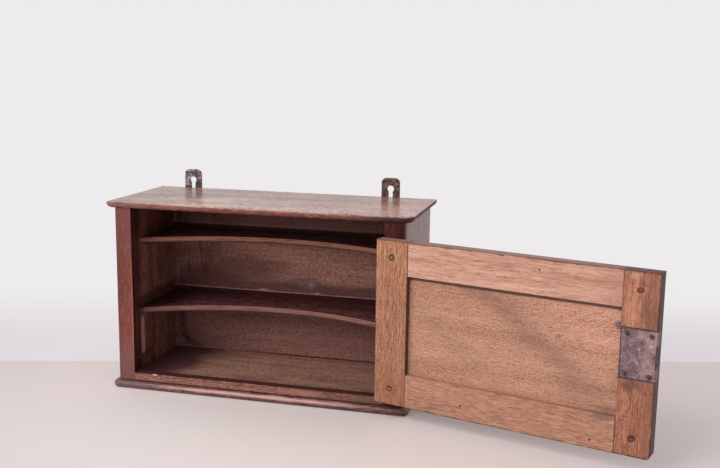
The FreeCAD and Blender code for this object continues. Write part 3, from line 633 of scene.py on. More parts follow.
upper = Board("back_board_upper", LEVEL_FRONT)
upper.grain(81, UPPER_BACK_TONES, ring=18, streak=(5, 2.2))
upper.keep_to(upper.deep(4.5, 2.5))
upper.stain(upper.across(85, 125) * 0.45, (150, 96, 92))
tide = upper.wander(upper.width, 30, (50, 20), 84)
upper.stain(upper.step(tide, 34, 10) * 0.75, (74, 38, 42))
upper.smudge((150, 34), (150, 40), 1.4, 85, 0.65, DAMP)
# Painted shade: the board darkens towards its top, under the top board.
upper.wash(upper.across(124, 142), (0.62, 0.54, 0.60))
upper.stain(upper.step(upper.from_line(upper.width, PALE_LINE), 3.2, 1) * 0.6, (176, 138, 132))
above_upper_shelf = upper.across(119, 117.5) * upper.across(108, 112)
upper.stain(above_upper_shelf * 0.9, (50, 17, 20))
upper.smudge((186, 0.8), (16, 2.2), 1.0, 86, 1.0, PALE_SPLIT)
upper.smudge((290, 0.8), (8, 2), 1.0, 87, 1.0, PALE_SPLIT)
upper.smudge((278, 15), (8, 11), 1.4, 89, 0.35, (160, 150, 160), core=0.0)
drips = upper.spots((10, 50), 83, 0.0, 0.2)
upper.stain(drips * upper.along(170, 30) * 0.7, DAMP)
# Painted shade: the board darkens towards its left end, beside the left stile.
shaded_end = upper.wander(upper.length, 160, (80, 60), 82, 4.0, 0.6)
upper.stain(upper.step(shaded_end, 150, 20) * 0.35, (80, 36, 35))
corner_line = upper.step(upper.from_line(upper.length, 12.5), 2, 0.6) * upper.across(100, 80)
faint = upper.spots((10, 20), 80, -0.15, 0.1, 2.0) * 0.5
upper.stain(corner_line * faint, (156, 118, 126))
weather_back(upper, 180)
upper.done(0.62, gloss=0.2)

# %% The lower back board
LOWER_BACK_TONES = ((78, 46, 42), (147, 102, 94), (175, 128, 117))
RUN_CENTRE = (55 * MM, 45 * MM, 0.0)
RUN_RADIUS = 34.5

lower = Board("back_board_lower", LEVEL_FRONT)
lower.grain(91, LOWER_BACK_TONES, ring=18, streak=(5, 2.2), strength=0.72)
lower.keep_to(lower.deep(4.5, 2.5))
broken = lower.spots((40, 10), 98, -0.12, 0.12)
lower.stain(lower.across(124.6, 125.8) * broken * 0.55, PALE_SPLIT)
under_joint = lower.across(104, 112) * lower.across(124.8, 124)
lower.stain(under_joint, (48, 14, 18))
bent = lower.point(lower.length, lower.width.at_most(RUN_CENTRE[1]))
off_run = lower.from_line(lower.apart(bent, RUN_CENTRE), RUN_RADIUS)
run_line = lower.wander(off_run, 22, (20, 20), 94, 4.0, 0.6)
run_share = 0.60 + lower.cloud((16, 12), 93, 4.0, 0.65) * 1.2
lower.smudge((10, 60), (30, 70), 1.0, 95, 0.2, DAMP)
run_end = lower.along(80, 40)
lower.stain(lower.step(run_line, 12, -1) * run_end * run_share.at_most(0.8), (42, 18, 24))
lower.stain(lower.across(8.8, 6.4) * lower.along(80, 250) * 0.85, (40, 18, 18))
lower.smudge((140, 85), (90, 30), 1.4, 96, 0.25, (72, 46, 48))
# Painted light: the board is brightened near its top, which lifts the shade under the middle shelf.
lower.wash(lower.across(85, 100), (1.30, 1.35, 1.40))
runs = lower.spots((5, 30), 97, 0.03, 0.14, 2.0)
lower.stain(lower.patch((90, 72), (26, 18), 0.8, 99) * runs * 0.75, (160, 140, 144))
weather_back(lower, 190)
lower.done(0.62, gloss=0.15)

# %% [markdown]
# Inside, the floor board is the driest and palest wood; its left corner is painted dark and violet, a
# painted shade, and it is darker along its front. The two shelves are dark on top and rubbed pale along
# their hollow front edge, which on the upper shelf is painted lighter still, as painted light; that edge
# is the only part that lies at one distance from the centre of the hollow, so the distance finds it.
# The front half of the middle shelf is painted paler, most at the left, as painted light that lifts
# its shade, and both shelves are painted darker at their left end, a painted shade.

# %% The floor board
FLOOR_TONES = ((90, 56, 46), (164, 118, 101), (202, 158, 137))

ground = Board("floor_board", LYING)
ground.grain(101, FLOOR_TONES, ring=16, streak=(5, 2.8), strength=0.9)
# Painted shade: the left corner is darkened, where the left stile shades it.
ground.smudge((0, 110), (118, 140), 1.2, 104, 0.85, (74, 37, 42), core=0.55)
ground.stain(ground.spots((120, 50), 105, 0.0, 0.22) * 0.5, (100, 68, 54))
# Painted shade: a violet cast over the same corner.
ground.wash(ground.patch((0, 120), (94, 150), 0.9, 107, 0.65), (0.92, 0.75, 0.90))
front_darkening = ground.wander(ground.width, 30, (50, 20), 106)
ground.stain(ground.step(front_darkening, 20, 4) * 0.6, (78, 40, 32))
ground.done(0.66)

# %% The hollow shelves
UPPER_TONES = ((50, 24, 28), (92, 50, 54), (124, 78, 76))
MIDDLE_TONES = ((38, 15, 16), (82, 38, 41), (118, 76, 72))
# The fourth item of a row is the edge tone, pale from wear; the upper shelf's is set lighter, painted
# light that lifts the shade under the top board.
SHELVES = (
    ("upper_shelf", 111, UPPER_TONES, (160, 104, 88), 0.3),
    ("middle_shelf", 121, MIDDLE_TONES, (142, 97, 88), 0.8),
)
MIDDLE_STRIP = 0.02
BACK_MARGIN = 0.01


def hollow_centre(name):
    """Centre and radius of the hollow front edge, from three of its points: two ends and the deepest."""
    low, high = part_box(name)
    corners = [vertex.co for vertex in nodes[name].data.vertices]
    end = min(corner.y for corner in corners)
    front = [corner for corner in corners if corner.y < high.y - BACK_MARGIN]
    deepest = max(corner.y for corner in front if abs(corner.x) < MIDDLE_STRIP)
    rise = deepest - end
    half = (high.x - low.x) / 2
    radius = (half * half + rise * rise) / (2 * rise)
    return deepest - radius, radius


for name, seed, tones, worn_and_lit_edge, end_shade in SHELVES:
    shelf = Board(name, LYING)
    shelf.grain(seed, tones, ring=14, streak=(8, 2.6), strength=2.1)
    centre_y, radius = hollow_centre(name)
    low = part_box(name)[0]
    middle = (-low.x, centre_y - low.y, 0.0)
    plan = shelf.vector("MULTIPLY", shelf.spot, (1, 1, 0))
    inset = shelf.apart(plan, middle) - radius
    if name == "middle_shelf":
        # Painted light: the front half of the middle shelf, and more its left part, is brightened to lift
        # its shade.
        front_lift = shelf.step(shelf.wander(inset, 30, (60, 20), seed + 9), 60, 10)
        shelf.wash(front_lift, (1.35, 1.30, 1.35))
        shelf.wash(front_lift * shelf.along(190, 50), (1.6, 1.5, 1.6))
        shelf.wash(shelf.along(70, 30), (0.50, 0.45, 0.45))
    shelf.stain(shelf.step(shelf.wander(inset, 5, (30, 6), seed + 5), 2.2, 0.6), worn_and_lit_edge)
    edge = shelf.step(inset, 2, 0.5)
    streaks = shelf.spots((30, 30, 2), seed + 8, 0.0, 0.16, 2.0)
    shelf.stain(streaks * edge * 0.65, (78, 44, 38))
    shelf.stain(shelf.deep(4, 1.2) * edge * 0.9, (58, 32, 29))
    shelf.stain(shelf.deep(8.6, 9.6) * edge * 0.5, (156, 108, 92))
    # Painted shade at the left end of each shelf.
    shelf.stain(shelf.along(10, 6) * end_shade, (46, 20, 18))
    shelf.done(0.52 + shelf.cloud((50, 20), seed + 6) * 0.3, gloss=0.25)
    print("hollow radius", round(radius, 3), "m")

# %% [markdown]
# Bearers carry the shelves and a post props the middle one at each front corner. They are offcuts of
# the same oak, never stained, and the lower fronts of the posts are painted pale, a painted highlight.
# Each could have its own lines of code, but they differ only in direction and in their draw of the
# grain, so a loop is enough.

# %% Bearers and posts
BEARER_TONES = ((64, 40, 34), (108, 74, 62), (136, 100, 84))

for number, name in enumerate(sorted(node for node in nodes if "bearer" in node)):
    post = name.startswith("bearer_post")
    strip = Board(name, STANDING_SIDE if post else FRONT_TO_BACK)
    strip.grain(131 + 10 * number, BEARER_TONES, ring=6, streak=(16, 1.9))
    if post:
        # Painted highlight: the lower front of each post, away from its left edge, is made pale.
        post_lit_face = strip.across(1.2, 0.3) * strip.along(72, 58)
        strip.stain(post_lit_face * strip.deep(1.4, 2.6), (190, 128, 114))
    strip.done(0.6)

# %% [markdown]
# The door is seen from its inner side, which was never stained: pale oak, browned by handling. The
# stain of the outer side creeps round the rim of the door, so each door board mixes both looks. The
# share of stain comes from two distances, how near the outer face is and how near the door's rim.

# %% What all the door boards share
DOOR_BOARDS = ("hinge_stile", "lock_stile", "door_top_rail", "door_bottom_rail")
GRIME = (62, 36, 28)
HOLE = (32, 10, 8)
OUTER_FACTORS = (0.42, 0.32, 0.34)
PALE_EDGE = (0.58, 0.58, 0.64)
DARK_EDGE = (0.30, 0.28, 0.42)

door_start, door_end = extent(DOOR_BOARDS, DOOR_ALONG)
door_foot, door_head = extent(DOOR_BOARDS, UP)


class DoorBoard(Board):
    """A board of the door: bare oak inside, stained outside and round the rim."""

    def __init__(self, name, axes):
        super().__init__(name, axes)
        self.from_hinge = self.project(DOOR_ALONG) - door_start
        self.from_foot = self.project(UP) - door_foot
        sides = self.from_hinge.at_most(door_end - door_start - self.from_hinge)
        self.rim = sides.at_most(self.from_foot.at_most(door_head - door_foot - self.from_foot))
        self.inner = self.fade(self.depth, self.sizes[2] * 0.5, self.sizes[2] * 0.7)

    def stain_outside(self, seed, creep, edge=PALE_EDGE, line=(70, 40, 35)):
        """Dark stain on the outer face, a greyed edge, and an uneven dark line along the inner arris."""
        thickness = self.sizes[2]
        self.wash(self.step(self.rim, 1, 0.3), edge)
        outer = self.fade(self.depth, thickness * 0.12, thickness * 0.03)
        self.wash(outer, OUTER_FACTORS)
        self.stain(outer * 0.4, (100, 56, 45))
        self.stain(outer * self.spots((90, 40), seed + 40, 0.0, 0.2, 4.0, 0.6) * 0.5, (62, 30, 26))
        self.stain(outer * self.rubbed(seed + 41, 3) * 0.5, (134, 82, 64))
        corner = self.rim.at_least(thickness - self.depth)
        uneven = self.wander(corner, 3 * creep, (20, 4), seed, 4.0, 0.6)
        self.stain(self.step(uneven, creep * 0.8, creep * 0.2) * 0.9, line)

    def seam(self, line, width, share=0.9):
        """The dirty line where a rail meets a stile."""
        uneven = self.wander(self.from_line(self.from_hinge, line), width, (4, 6), 7, 2.0)
        self.stain(self.step(uneven, width, width * 0.4) * share, GRIME)

    def away_from(self, hinge_side, height):
        """The distance from a place on the door, which is given from its hinge edge and its foot."""
        place = (hinge_side * MM, height * MM, 0.0)
        return self.apart(self.point(self.from_hinge, self.from_foot), place)

    def ring(self, hinge_side, height, radius, share):
        """The dark gap round a peg, fainter in places."""
        gap = self.from_line(self.away_from(hinge_side, height), radius)
        uneven = 0.5 + self.spots((4, 4), 9, -0.16, 0.06, 2.0) * 0.5
        self.stain(self.step(gap, 1.6, 0.6) * uneven * share, HOLE)

    def dot(self, hinge_side, height, size, colour, share=1.0):
        """A small round mark, as an old nail leaves."""
        mark = self.step(self.away_from(hinge_side, height), size, size * 0.6)
        self.stain(mark * share, colour)


print("door:", round(door_end - door_start, 4), "x", round(door_head - door_foot, 4))

# %% [markdown]
# The hinge stile and the two rails are the palest boards. Grime lies in the seams, a dark ring sits
# round each peg, and a few nail holes remain from older fittings. Such marks could be modelled, but at
# their size a dark stain shows the same. Their positions are measured from the door's hinge edge and
# its foot.

# %% Hinge stile
STILE_TONES = ((84, 46, 30), (167, 111, 82), (200, 144, 114))
BRIGHT_EDGE = (0.80, 0.94, 1.20)
HINGE_SEAM, LOCK_SEAM = 54.5, 385.1
PEG_LOW, PEG_HIGH = 26.25, 235.75
PEG_INSET = 27.0
PEG_RING = 4.2

stile = DoorBoard("hinge_stile", DOOR_STILE)
stile.grain(201, STILE_TONES, ring=4, streak=(20, 1.4), strength=0.72, grit=0.7)
stile.stain(stile.along(90, 20) * 0.35, (140, 86, 54))
stile.wash(stile.along(180, 230), (1.08, 1.08, 1.04))
stile.seam(HINGE_SEAM, 1)
stile.ring(PEG_INSET, PEG_HIGH, PEG_RING, 0.95)
stile.ring(PEG_INSET, PEG_LOW, PEG_RING, 0.6)
stile.stain_outside(204, 1.5, BRIGHT_EDGE)
stile.done(0.66)

# %% Top rail of the door
HEAD_TONES = ((124, 78, 60), (204, 153, 130), (230, 184, 162))

head = DoorBoard("door_top_rail", DOOR_RAIL)
head.grain(211, HEAD_TONES, ring=8, streak=(24, 1.3), strength=0.75)
waves = head.cloud((120, 10), 214, 3.0)
head.stain(head.fade(waves, 0.0, 0.22) * 0.5, (160, 106, 84))
head.stain(head.fade(waves, -0.02, -0.2) * 0.4, (226, 178, 158))
head.seam(HINGE_SEAM, 1.6)
head.seam(LOCK_SEAM, 1)
head.stain(head.step(head.from_hinge, 335, 385) * 0.55, (172, 116, 96))
head.stain_outside(215, 3.6, line=(112, 74, 62))
head.keep_to(head.inner)
head.dot(265.4, 245.9, 1.8, HOLE)
head.done(0.64)

# %% Bottom rail of the door
FOOT_TONES = ((104, 64, 46), (178, 127, 102), (206, 156, 128))

foot = DoorBoard("door_bottom_rail", DOOR_RAIL)
foot.grain(221, FOOT_TONES, ring=10, streak=(14, 1.4), strength=0.8)
foot.seam(HINGE_SEAM, 0.9, 0.7)
foot.seam(LOCK_SEAM, 1.6)
foot.stain_outside(225, 2.2)
foot.keep_to(foot.inner)
foot.smudge((356, 51), (32, 9), 1.2, 224, 0.5, (98, 74, 70))
foot.dot(149.9, 21.8, 2, HOLE)
foot.dot(350.6, 12.5, 2.2, HOLE)
foot.done(0.64)

# %% [markdown]
# The lock stile is redder and darker, since every hand that opened the door held it there. It is
# blotched brown above and below the lock, and its free edge is the darkest rim of the door. Its
# upper peg hardly shows, apart from two dark spots beside it. Dirt from hands has no outline, so these
# stains are patches with ragged rims, and noise decides where the blotches fall.

# %% Lock stile
CLASP_TONES = ((84, 43, 29), (169, 107, 79), (207, 147, 115))
LOCK_MIDDLE = 146.75
LOCK_HALF = 35.25
CLASP_SMUDGES = (
    ((246, 25), (13, 3.5), 0.8, 235, 0.5, (104, 56, 42), 0.3),
    ((254.5, 15), (7, 13), 1.2, 236, 0.4, (206, 170, 156), 0.0),
    ((103, 18), (13, 19), 1.4, 251, 0.65, (88, 62, 58), 0.3),
    ((195, 40), (26, 12), 1.2, 252, 0.45, (100, 66, 58), 0.3),
)
lock_peg = (door_end - door_start) / MM - PEG_INSET

clasp = DoorBoard("lock_stile", DOOR_STILE)
clasp.grain(231, CLASP_TONES, ring=4, streak=(22, 1.4), strength=0.75, grit=0.7)
clasp.stain(clasp.spots((40, 12), 232, 0.0, 0.2) * 0.45, (128, 76, 58))
blotches = clasp.spots((16, 10), 233, 0.02, 0.16, 4.0, 0.65)
off_lock = clasp.from_line(clasp.from_foot, LOCK_MIDDLE) - LOCK_HALF * MM
near_lock = clasp.step(off_lock, 40, 4)
clasp.stain(blotches * (0.25 + near_lock * 0.5), (92, 54, 46))
clasp.smudge((200, 13), (60, 16), 1.0, 238, 0.35, (208, 144, 108))
handled = clasp.wander(clasp.width, 20, (50, 15), 240)
clasp.stain(clasp.step(handled, 18, 50) * 0.45, (112, 70, 58))
clasp.seam(LOCK_SEAM, 0.8, 0.8)
clasp.ring(lock_peg, PEG_LOW, PEG_RING, 0.8)
clasp.stain_outside(237, 3.6, DARK_EDGE)
clasp.keep_to(clasp.inner)
clasp.smudge((PEG_LOW + 3, 26), (8.5, 7), 1.6, 253, 0.75, (92, 52, 38), core=0.0)
clasp.dot(lock_peg - 3, PEG_HIGH - 0.8, 3.2, (62, 27, 22), 0.8)
clasp.dot(lock_peg + 3.4, PEG_HIGH + 1, 2.6, (92, 48, 37), 0.7)
for smudge in CLASP_SMUDGES:
    clasp.smudge(*smudge)
lock_line = clasp.wander(off_lock, 1.6, (4, 6), 239, 2.0)
clasp.stain(clasp.step(lock_line, 2.2, 1) * 0.9, HOLE)
clasp.done(0.60)

# %% [markdown]
# The panel is one thin board cut on the quarter, so short rays dapple it and slow diagonal clouds run
# across. A few fine scratches rise towards the upper right corner, and a dark band painted under the
# top rail is a painted shadow of the rail. Noise alone would lay its clouds anyhow, so here it only
# bends a slanted distance, and the clouds are bands of that distance.

# %% Panel
PANEL_TONES = ((116, 74, 56), (186, 136, 110), (212, 164, 138))
PANEL_TONGUE = 7
SLOPE = 0.78
DARK_BANDS = ((257, 0.42), (130, 0.18))
SCRATCH_RUN, SCRATCH_SIDE = (0.87, 0.50, 0.0), (-0.50, 0.87, 0.0)
SCRATCHES_ALONG, SCRATCHES_ACROSS = 14.0, 640.0

field = DoorBoard("door_panel", DOOR_RAIL)
field.grain(241, PANEL_TONES, ring=20, streak=(3.2, 2.2), strength=0.8)
slant = field.wander(field.width + field.length * SLOPE, 60, (100, 50), 244)
for level, share in DARK_BANDS:
    dark_band = field.step(field.from_line(slant, level), 34, 2) * field.across(10, 70)
    field.stain(dark_band * share, (122, 84, 70))
pink = field.step(slant, 285, 345) * field.across(45, 110)
field.wash(pink, (1.17, 1.13, 1.18))
field.smudge((285, 30), (70, 34), 1.2, 245, 0.3, (132, 90, 70))
rising = field.vector("DOT_PRODUCT", field.spot, SCRATCH_RUN, output="Value")
beside = field.vector("DOT_PRODUCT", field.spot, SCRATCH_SIDE, output="Value")
slanted = field.point(rising * SCRATCHES_ALONG, beside * SCRATCHES_ACROSS)
scratch = field.node("TexNoise", {"Vector": slanted, "Scale": 1.0, "Detail": 1.0})
upper_right = field.along(160, 300) * field.across(50, 110)
field.stain(field.fade(scratch, 0.56, 0.74) * upper_right * 0.6, (226, 184, 162))
field.stain_outside(246, 0.1)
field.keep_to(field.inner)
field.smudge((247, 105.5), (6.5, 5), 0.9, 247, 0.6, (160, 88, 68))
field.smudge((334, 136.5), (11, 9.5), 1.2, 248, 0.75, (86, 64, 66))
field.smudge((324, 12), (30, 10), 1.2, 249, 0.45, (98, 74, 70))
# Painted shadow of the top rail on the panel, a dark band right under it.
rail_shadow = field.wander(field.sizes[1] - PANEL_TONGUE * MM - field.width, 3, (50, 4), 250, 2.0)
field.stain(field.step(rail_shadow, 8, 5.6) * 0.85, (66, 38, 26))
field.dot(360, 170, 1.7, HOLE, 0.6)
field.done(0.64)

# %% [markdown]
# Metal comes next. Iron that hung on a wall for a century is dull, brown and speckled, with brighter
# steel only where something slides. Each slot of the pack gets its own mix of the same three parts:
# a body colour, speckles and rust. A fine and a coarse noise lay the last two, and also roughen the
# surface, so that rust is both darker and duller than the metal round it.

# %% Iron and steel
def metal(name, body, speckle, rust, shine, roughness, seed):
    """Old ferrous metal: speckled, a little rusty and unevenly dull."""
    finish = Finish(name)
    fine = finish.cloud((1.6, 1.6), seed, 3.0, 0.6)
    coarse = finish.cloud((9, 9), seed + 1, 4.0, 0.6)
    finish.colour = tint(*body)
    finish.stain(finish.fade(fine, 0.02, 0.16) * 0.7, speckle)
    finish.stain(finish.fade(coarse, 0.03, 0.18) * 0.75, rust)
    return finish.surface(roughness + coarse * 0.4, fine + coarse, 0.25, shine=shine)


METALS = {
    "hanger_iron": ((84, 74, 70), (140, 132, 130), (74, 50, 40), 0.75, 0.48),
    "lock_iron": ((124, 100, 104), (176, 158, 158), (92, 66, 66), 0.45, 0.55),
    "dark_steel": ((62, 52, 50), (96, 84, 80), (64, 40, 32), 0.7, 0.5),
    "bolt_steel": ((126, 120, 118), (164, 158, 154), (92, 74, 66), 0.85, 0.36),
    "key_steel": ((104, 96, 92), (146, 138, 132), (84, 62, 52), 0.85, 0.38),
}
metals = {}
for number, (slot, mix) in enumerate(METALS.items()):
    metals[slot] = metal(slot + "_old", *mix, 300 + 10 * number)
for name, part in nodes.items():
    slot = part.material_slots[0].material.name
    if slot in metals:
        dress(name, metals[slot])
print("metals:", ", ".join(metals))

# %% [markdown]
# The two hanging plates have aged apart. The left one has lost its brown skin towards the top, where
# bare grey metal shows between dark streaks; the right one is brown nearly all over. Two recipes could
# do it, but one recipe with a share of bare metal shows that they are a pair.

# %% The hanging plates
for name, seed, bare_share in (("hanger_left", 371, 0.85), ("hanger_right", 381, 0.1)):
    plate = Finish(name + "_iron")
    low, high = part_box(name)
    rightward = plate.project(RIGHT) - low.x
    upward = plate.project(UP) - low.z
    fine = plate.cloud((1.8, 1.8), seed, 3.0, 0.6)
    blotch = plate.cloud((7, 7, 5), seed + 1, 3.0, 0.6)
    plate.colour = tint(72, 52, 48)
    plate.stain(plate.fade(blotch + fine * 0.4, -0.10, 0.12), (122, 98, 90))
    scoured = plate.step(upward - rightward * 0.25, 12, 26) * bare_share
    plate.stain(scoured * 0.6, (112, 104, 106))
    plate.stain(scoured * plate.fade(blotch, 0.0, 0.14) * 0.8, (200, 194, 198))
    plate.stain(scoured * plate.fade(blotch, -0.02, -0.14) * 0.7, (66, 54, 58))
    dress(name, plate.surface(0.45 + fine * 0.5, fine + blotch, 0.3, shine=0.6))
    print(name, "is", "x".join(f"{side * 1000:.0f}" for side in high - low), "mm")

# %% [markdown]
# Pegs, nails and screws are small, but a plain cylinder gives them away. We read where each one sits
# from its CAD solid, then turn a better profile about the same axis: a whittled peg with flats, a
# hammered nail head, a screw with a slot. A little seeded wobble keeps them from being twins.

# %% Where the small round pieces sit
WELD_REACH = 1e-5


def lumps(name):
    """The separate solids of a CAD node, each as a list of points."""
    shape = bmesh.new()
    shape.from_mesh(nodes[name].data)
    bmesh.ops.remove_doubles(shape, verts=shape.verts, dist=WELD_REACH)
    found = []
    met = set()
    for start in shape.verts:
        if start in met:
            continue
        met.add(start)
        group = [start]
        for vert in group:
            for link in vert.link_edges:
                other = link.other_vert(vert)
                if other not in met:
                    met.add(other)
                    group.append(other)
        found.append([vert.co.copy() for vert in group])
    shape.free()
    return found


def seat(points, outward):
    """Frame of one round piece: its axis through the outermost point, with its length and radius."""
    side = UP.cross(outward)
    spans = []
    for axis in (side, UP, outward):
        values = [point.dot(axis) for point in points]
        spans.append((min(values), max(values)))
    across, (low, high), (inner, outer) = spans
    middle = side * sum(across) / 2 + UP * (low + high) / 2 + outward * outer
    turned_to = Matrix((side, UP, outward)).transposed().to_4x4()
    return Matrix.Translation(middle) @ turned_to, outer - inner, (high - low) / 2


for name in ("door_pegs", "lock_nails", "hanger_screws", "hinge_screws_carcass", "hinge_screws_door"):
    print(name, len(lumps(name)), "solids")


# %% Turning a profile about an axis
def turned(shape, place, profile, sides, wobble, chance):
    """Adds one turned piece: (radius, height) rows about the local Z of its place."""
    swell = [1 + wobble * chance.uniform(-1, 1) for corner in range(sides)]
    start = chance.uniform(0, math.tau)
    rows = []
    for radius, height in profile:
        row = []
        for corner in range(sides):
            angle = start + math.tau * corner / sides
            reach = radius * swell[corner]
            spot = Vector((reach * math.cos(angle), reach * math.sin(angle), height))
            row.append(shape.verts.new(place @ spot))
        rows.append(row)
    for low, high in zip(rows, rows[1:]):
        for corner in range(sides):
            after = (corner + 1) % sides
            shape.faces.new((low[corner], low[after], high[after], high[corner]))
    shape.faces.new(reversed(rows[0]))
    shape.faces.new(rows[-1])


# %% [markdown]
# The pegs were whittled from dry oak and driven in, so they are not quite round, their ends are
# chamfered, and a dark gap shows round them. Their end grain is darker than the stile. The gap could be
# a groove in the stile, but it is a fraction of a millimetre wide, so a dark rim on the peg draws it.

# %% Whittled pegs
PEG_SIDES = 9
PEG_CHAMFER = 0.0005
PEG_SLACK = 0.0003
PEG_WOBBLE = 0.04

chance = random.Random(5)
whittled = bmesh.new()
for points in lumps("door_pegs"):
    place, long, radius = seat(points, DOOR_DEEP)
    body = radius - PEG_SLACK
    tip = body - PEG_CHAMFER
    rows = [(tip, -long), (body, PEG_CHAMFER - long), (body, -PEG_CHAMFER), (tip, 0.0)]
    turned(whittled, place, rows, PEG_SIDES, PEG_WOBBLE, chance)
pegs = mesh_piece("whittled_pegs", whittled)
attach(pegs, "door")
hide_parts("door_pegs")
print("pegs:", len(pegs.data.polygons), "faces")

# %% The end grain of the pegs
dowel = Finish("peg_end_grain")
ends = dowel.cloud((1.2, 1.2), 401)
rim_wander = ends * 0.002
from_middle = dowel.project(DOOR_ALONG) - (door_start + door_end) / 2
height = dowel.project(UP) - (door_foot + door_head) / 2
lock_end = dowel.step(from_middle, -10, 10)
upper_end = dowel.step(height, -10, 10)
hinge_pair = dowel.mixed(upper_end, tint(160, 110, 86), tint(134, 98, 80))
lock_pair = dowel.mixed(upper_end, tint(128, 78, 58), tint(116, 66, 49))
dowel.colour = dowel.mixed(lock_end, hinge_pair, lock_pair)
dowel.stain(dowel.fade(ends, 0.0, 0.2) * 0.6, (84, 50, 38))
half_span = (door_end - door_start) / 2 - PEG_INSET * MM
half_rise = (PEG_HIGH - PEG_LOW) / 2 * MM
outward = abs(height) - half_rise
from_axis = dowel.vector("LENGTH", dowel.point(abs(from_middle) - half_span, outward), output="Value")
worn_rim = dowel.step(from_axis + rim_wander, 2.2, 3.4)
gap = 0.7 + upper_end * 0.25 - lock_end * upper_end * 0.55
dowel.stain(worn_rim * gap, HOLE)
# Painted shade: the upper half of each lower peg's end is darkened.
lower_peg_shade = dowel.step(outward + rim_wander, 0.4, -1.4) * (1 - upper_end)
dowel.stain(lower_peg_shade * 0.7, HOLE)
outer_depth = dowel.project(DOOR_DEEP) - extent(["door_pegs"], DOOR_DEEP)[0]
outer_end = dowel.mixed(worn_rim, tint(92, 50, 40), tint(*HOLE))
dowel.lay(dowel.step(outer_depth, 6, 2), outer_end)
pegs.data.materials.append(dowel.surface(0.7, ends, 0.2))
print("pegs stand", round(half_span * 2, 3), "m apart along the door,", round(half_rise * 2, 3), "m up it")

# %% [markdown]
# The lock is held by four hand-made nails. A rose head is a low dome with a few hammer flats, so it
# gets only nine sides and stays flat shaded, which gives it small glints. Hammering spread the heads.

# %% Hammered nails of the lock
NAIL_SIDES = 9
NAIL_WOBBLE = 0.05
HEAD_RISE = 0.0008
HEAD_CROWN = 0.0011
HEAD_SPREAD = 1.45
NAIL_MIX = ((74, 60, 62), (150, 140, 140), (44, 28, 28), 0.5, 0.36)

hammered = bmesh.new()
nail_places = []
for points in lumps("lock_nails"):
    place, long, radius = seat(points, DOOR_DEEP)
    nail_places.append(place.translation)
    rows = [
        (radius * 0.15, -long),
        (radius * 0.42, -long * 0.7),
        (radius * 0.42, -HEAD_RISE),
        (radius * HEAD_SPREAD, -HEAD_RISE),
        (radius * HEAD_SPREAD * 0.95, -HEAD_RISE * 0.4),
        (radius * HEAD_SPREAD * 0.70, HEAD_CROWN * 0.6),
        (radius * HEAD_SPREAD * 0.30, HEAD_CROWN),
    ]
    turned(hammered, place, rows, NAIL_SIDES, NAIL_WOBBLE, chance)
rose_nails = mesh_piece("rose_nails", hammered)
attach(rose_nails, "door")
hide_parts("lock_nails")
rose_nails.data.materials.append(metal("nail_iron", *NAIL_MIX, 395))
print("nails:", len(rose_nails.data.polygons), "faces")

# %% [markdown]
# The lock plate has a purple bloom of old rust, bluer towards the panel, with pale knocks in the
# middle and a painted shadow below and to the right of each nail. Its bent edge strip is brown, and
# nearly black at the bolt's slot. All of it is colour on one flat sheet, so every mark is a distance
# from a place on the plate, and the nails tell where their painted shadows go.

# %% The lock plate
STRIP = 0.0012
SLOT_LOW, SLOT_HIGH, SLOT_BLUR = 19, 49, 2
KNOCKS = ((25, 43, 3.0), (41, 49, 3.4), (23, 23, 2.6))
NAIL_SHADOW_SHIFT = Vector((0.0017, -0.0014))

iron = Finish("lock_plate_iron")
plate_start, plate_end = extent(["lock_plate"], DOOR_ALONG)
plate_foot, plate_head = extent(["lock_plate"], UP)
wide, tall = plate_end - plate_start, plate_head - plate_foot
run = iron.project(DOOR_ALONG) - plate_start
rise = iron.project(UP) - plate_foot
flat_spot = iron.point(run, rise)
speckle = iron.cloud((2.2, 2.2), 361, 3.0, 0.65)
bloom = iron.cloud((16, 16), 362, 4.0, 0.6)
iron.colour = tint(110, 83, 89)
iron.stain(iron.fade(bloom, -0.12, 0.14), (162, 131, 131))
iron.stain(iron.step(run, 24, 2) * 0.5, (104, 96, 108))
iron.stain(iron.fade(run, wide - STRIP, wide - STRIP * 0.5) * 0.8, (108, 82, 70))
iron.stain(iron.fade(speckle, 0.0, 0.16) * 0.45, (186, 162, 160))
iron.stain(iron.fade(speckle, -0.02, -0.16) * 0.5, (68, 46, 52))
for knock_along, knock_up, size in KNOCKS:
    reach = iron.apart(flat_spot, (knock_along * MM, knock_up * MM, 0.0)) + speckle * 0.008
    iron.stain(iron.step(reach, size, size * 0.3) * 0.55, (200, 182, 178))
# Painted shadow of each nail head, below and to the right of it.
for place in nail_places:
    shadow_centre = Vector((place.dot(DOOR_ALONG) - plate_start, place.z - plate_foot)) + NAIL_SHADOW_SHIFT
    reach = iron.apart(flat_spot, (*shadow_centre, 0.0)) + speckle * 0.002
    iron.stain(iron.step(reach, 4.4, 2.2) * 0.75, (44, 28, 30))
rim = run.at_most(rise.at_most(tall - rise))
iron.stain(iron.step(rim + bloom * 0.004, 2.2, 0.5) * 0.45, (58, 40, 44))
above_low = iron.step(rise, SLOT_LOW - SLOT_BLUR, SLOT_LOW)
at_slot = above_low * iron.step(rise, SLOT_HIGH + SLOT_BLUR, SLOT_HIGH)
iron.stain(iron.fade(run, wide - STRIP * 2, wide - STRIP) * at_slot * 0.85, (58, 32, 36))
dress("lock_plate", iron.surface(0.5 + bloom * 0.4, speckle + bloom, 0.3, shine=0.4))
print("lock plate", round(wide, 4), "x", round(tall, 4))

# %% [markdown]
# Screws hold the hinges and the hanging plates. Each has a turned head with one sawn slot. The slot
# is cut by a Boolean with thin blades, one per screw and each at its own angle, and the result is
# kept as a plain mesh, so no helper objects stay in the scene.

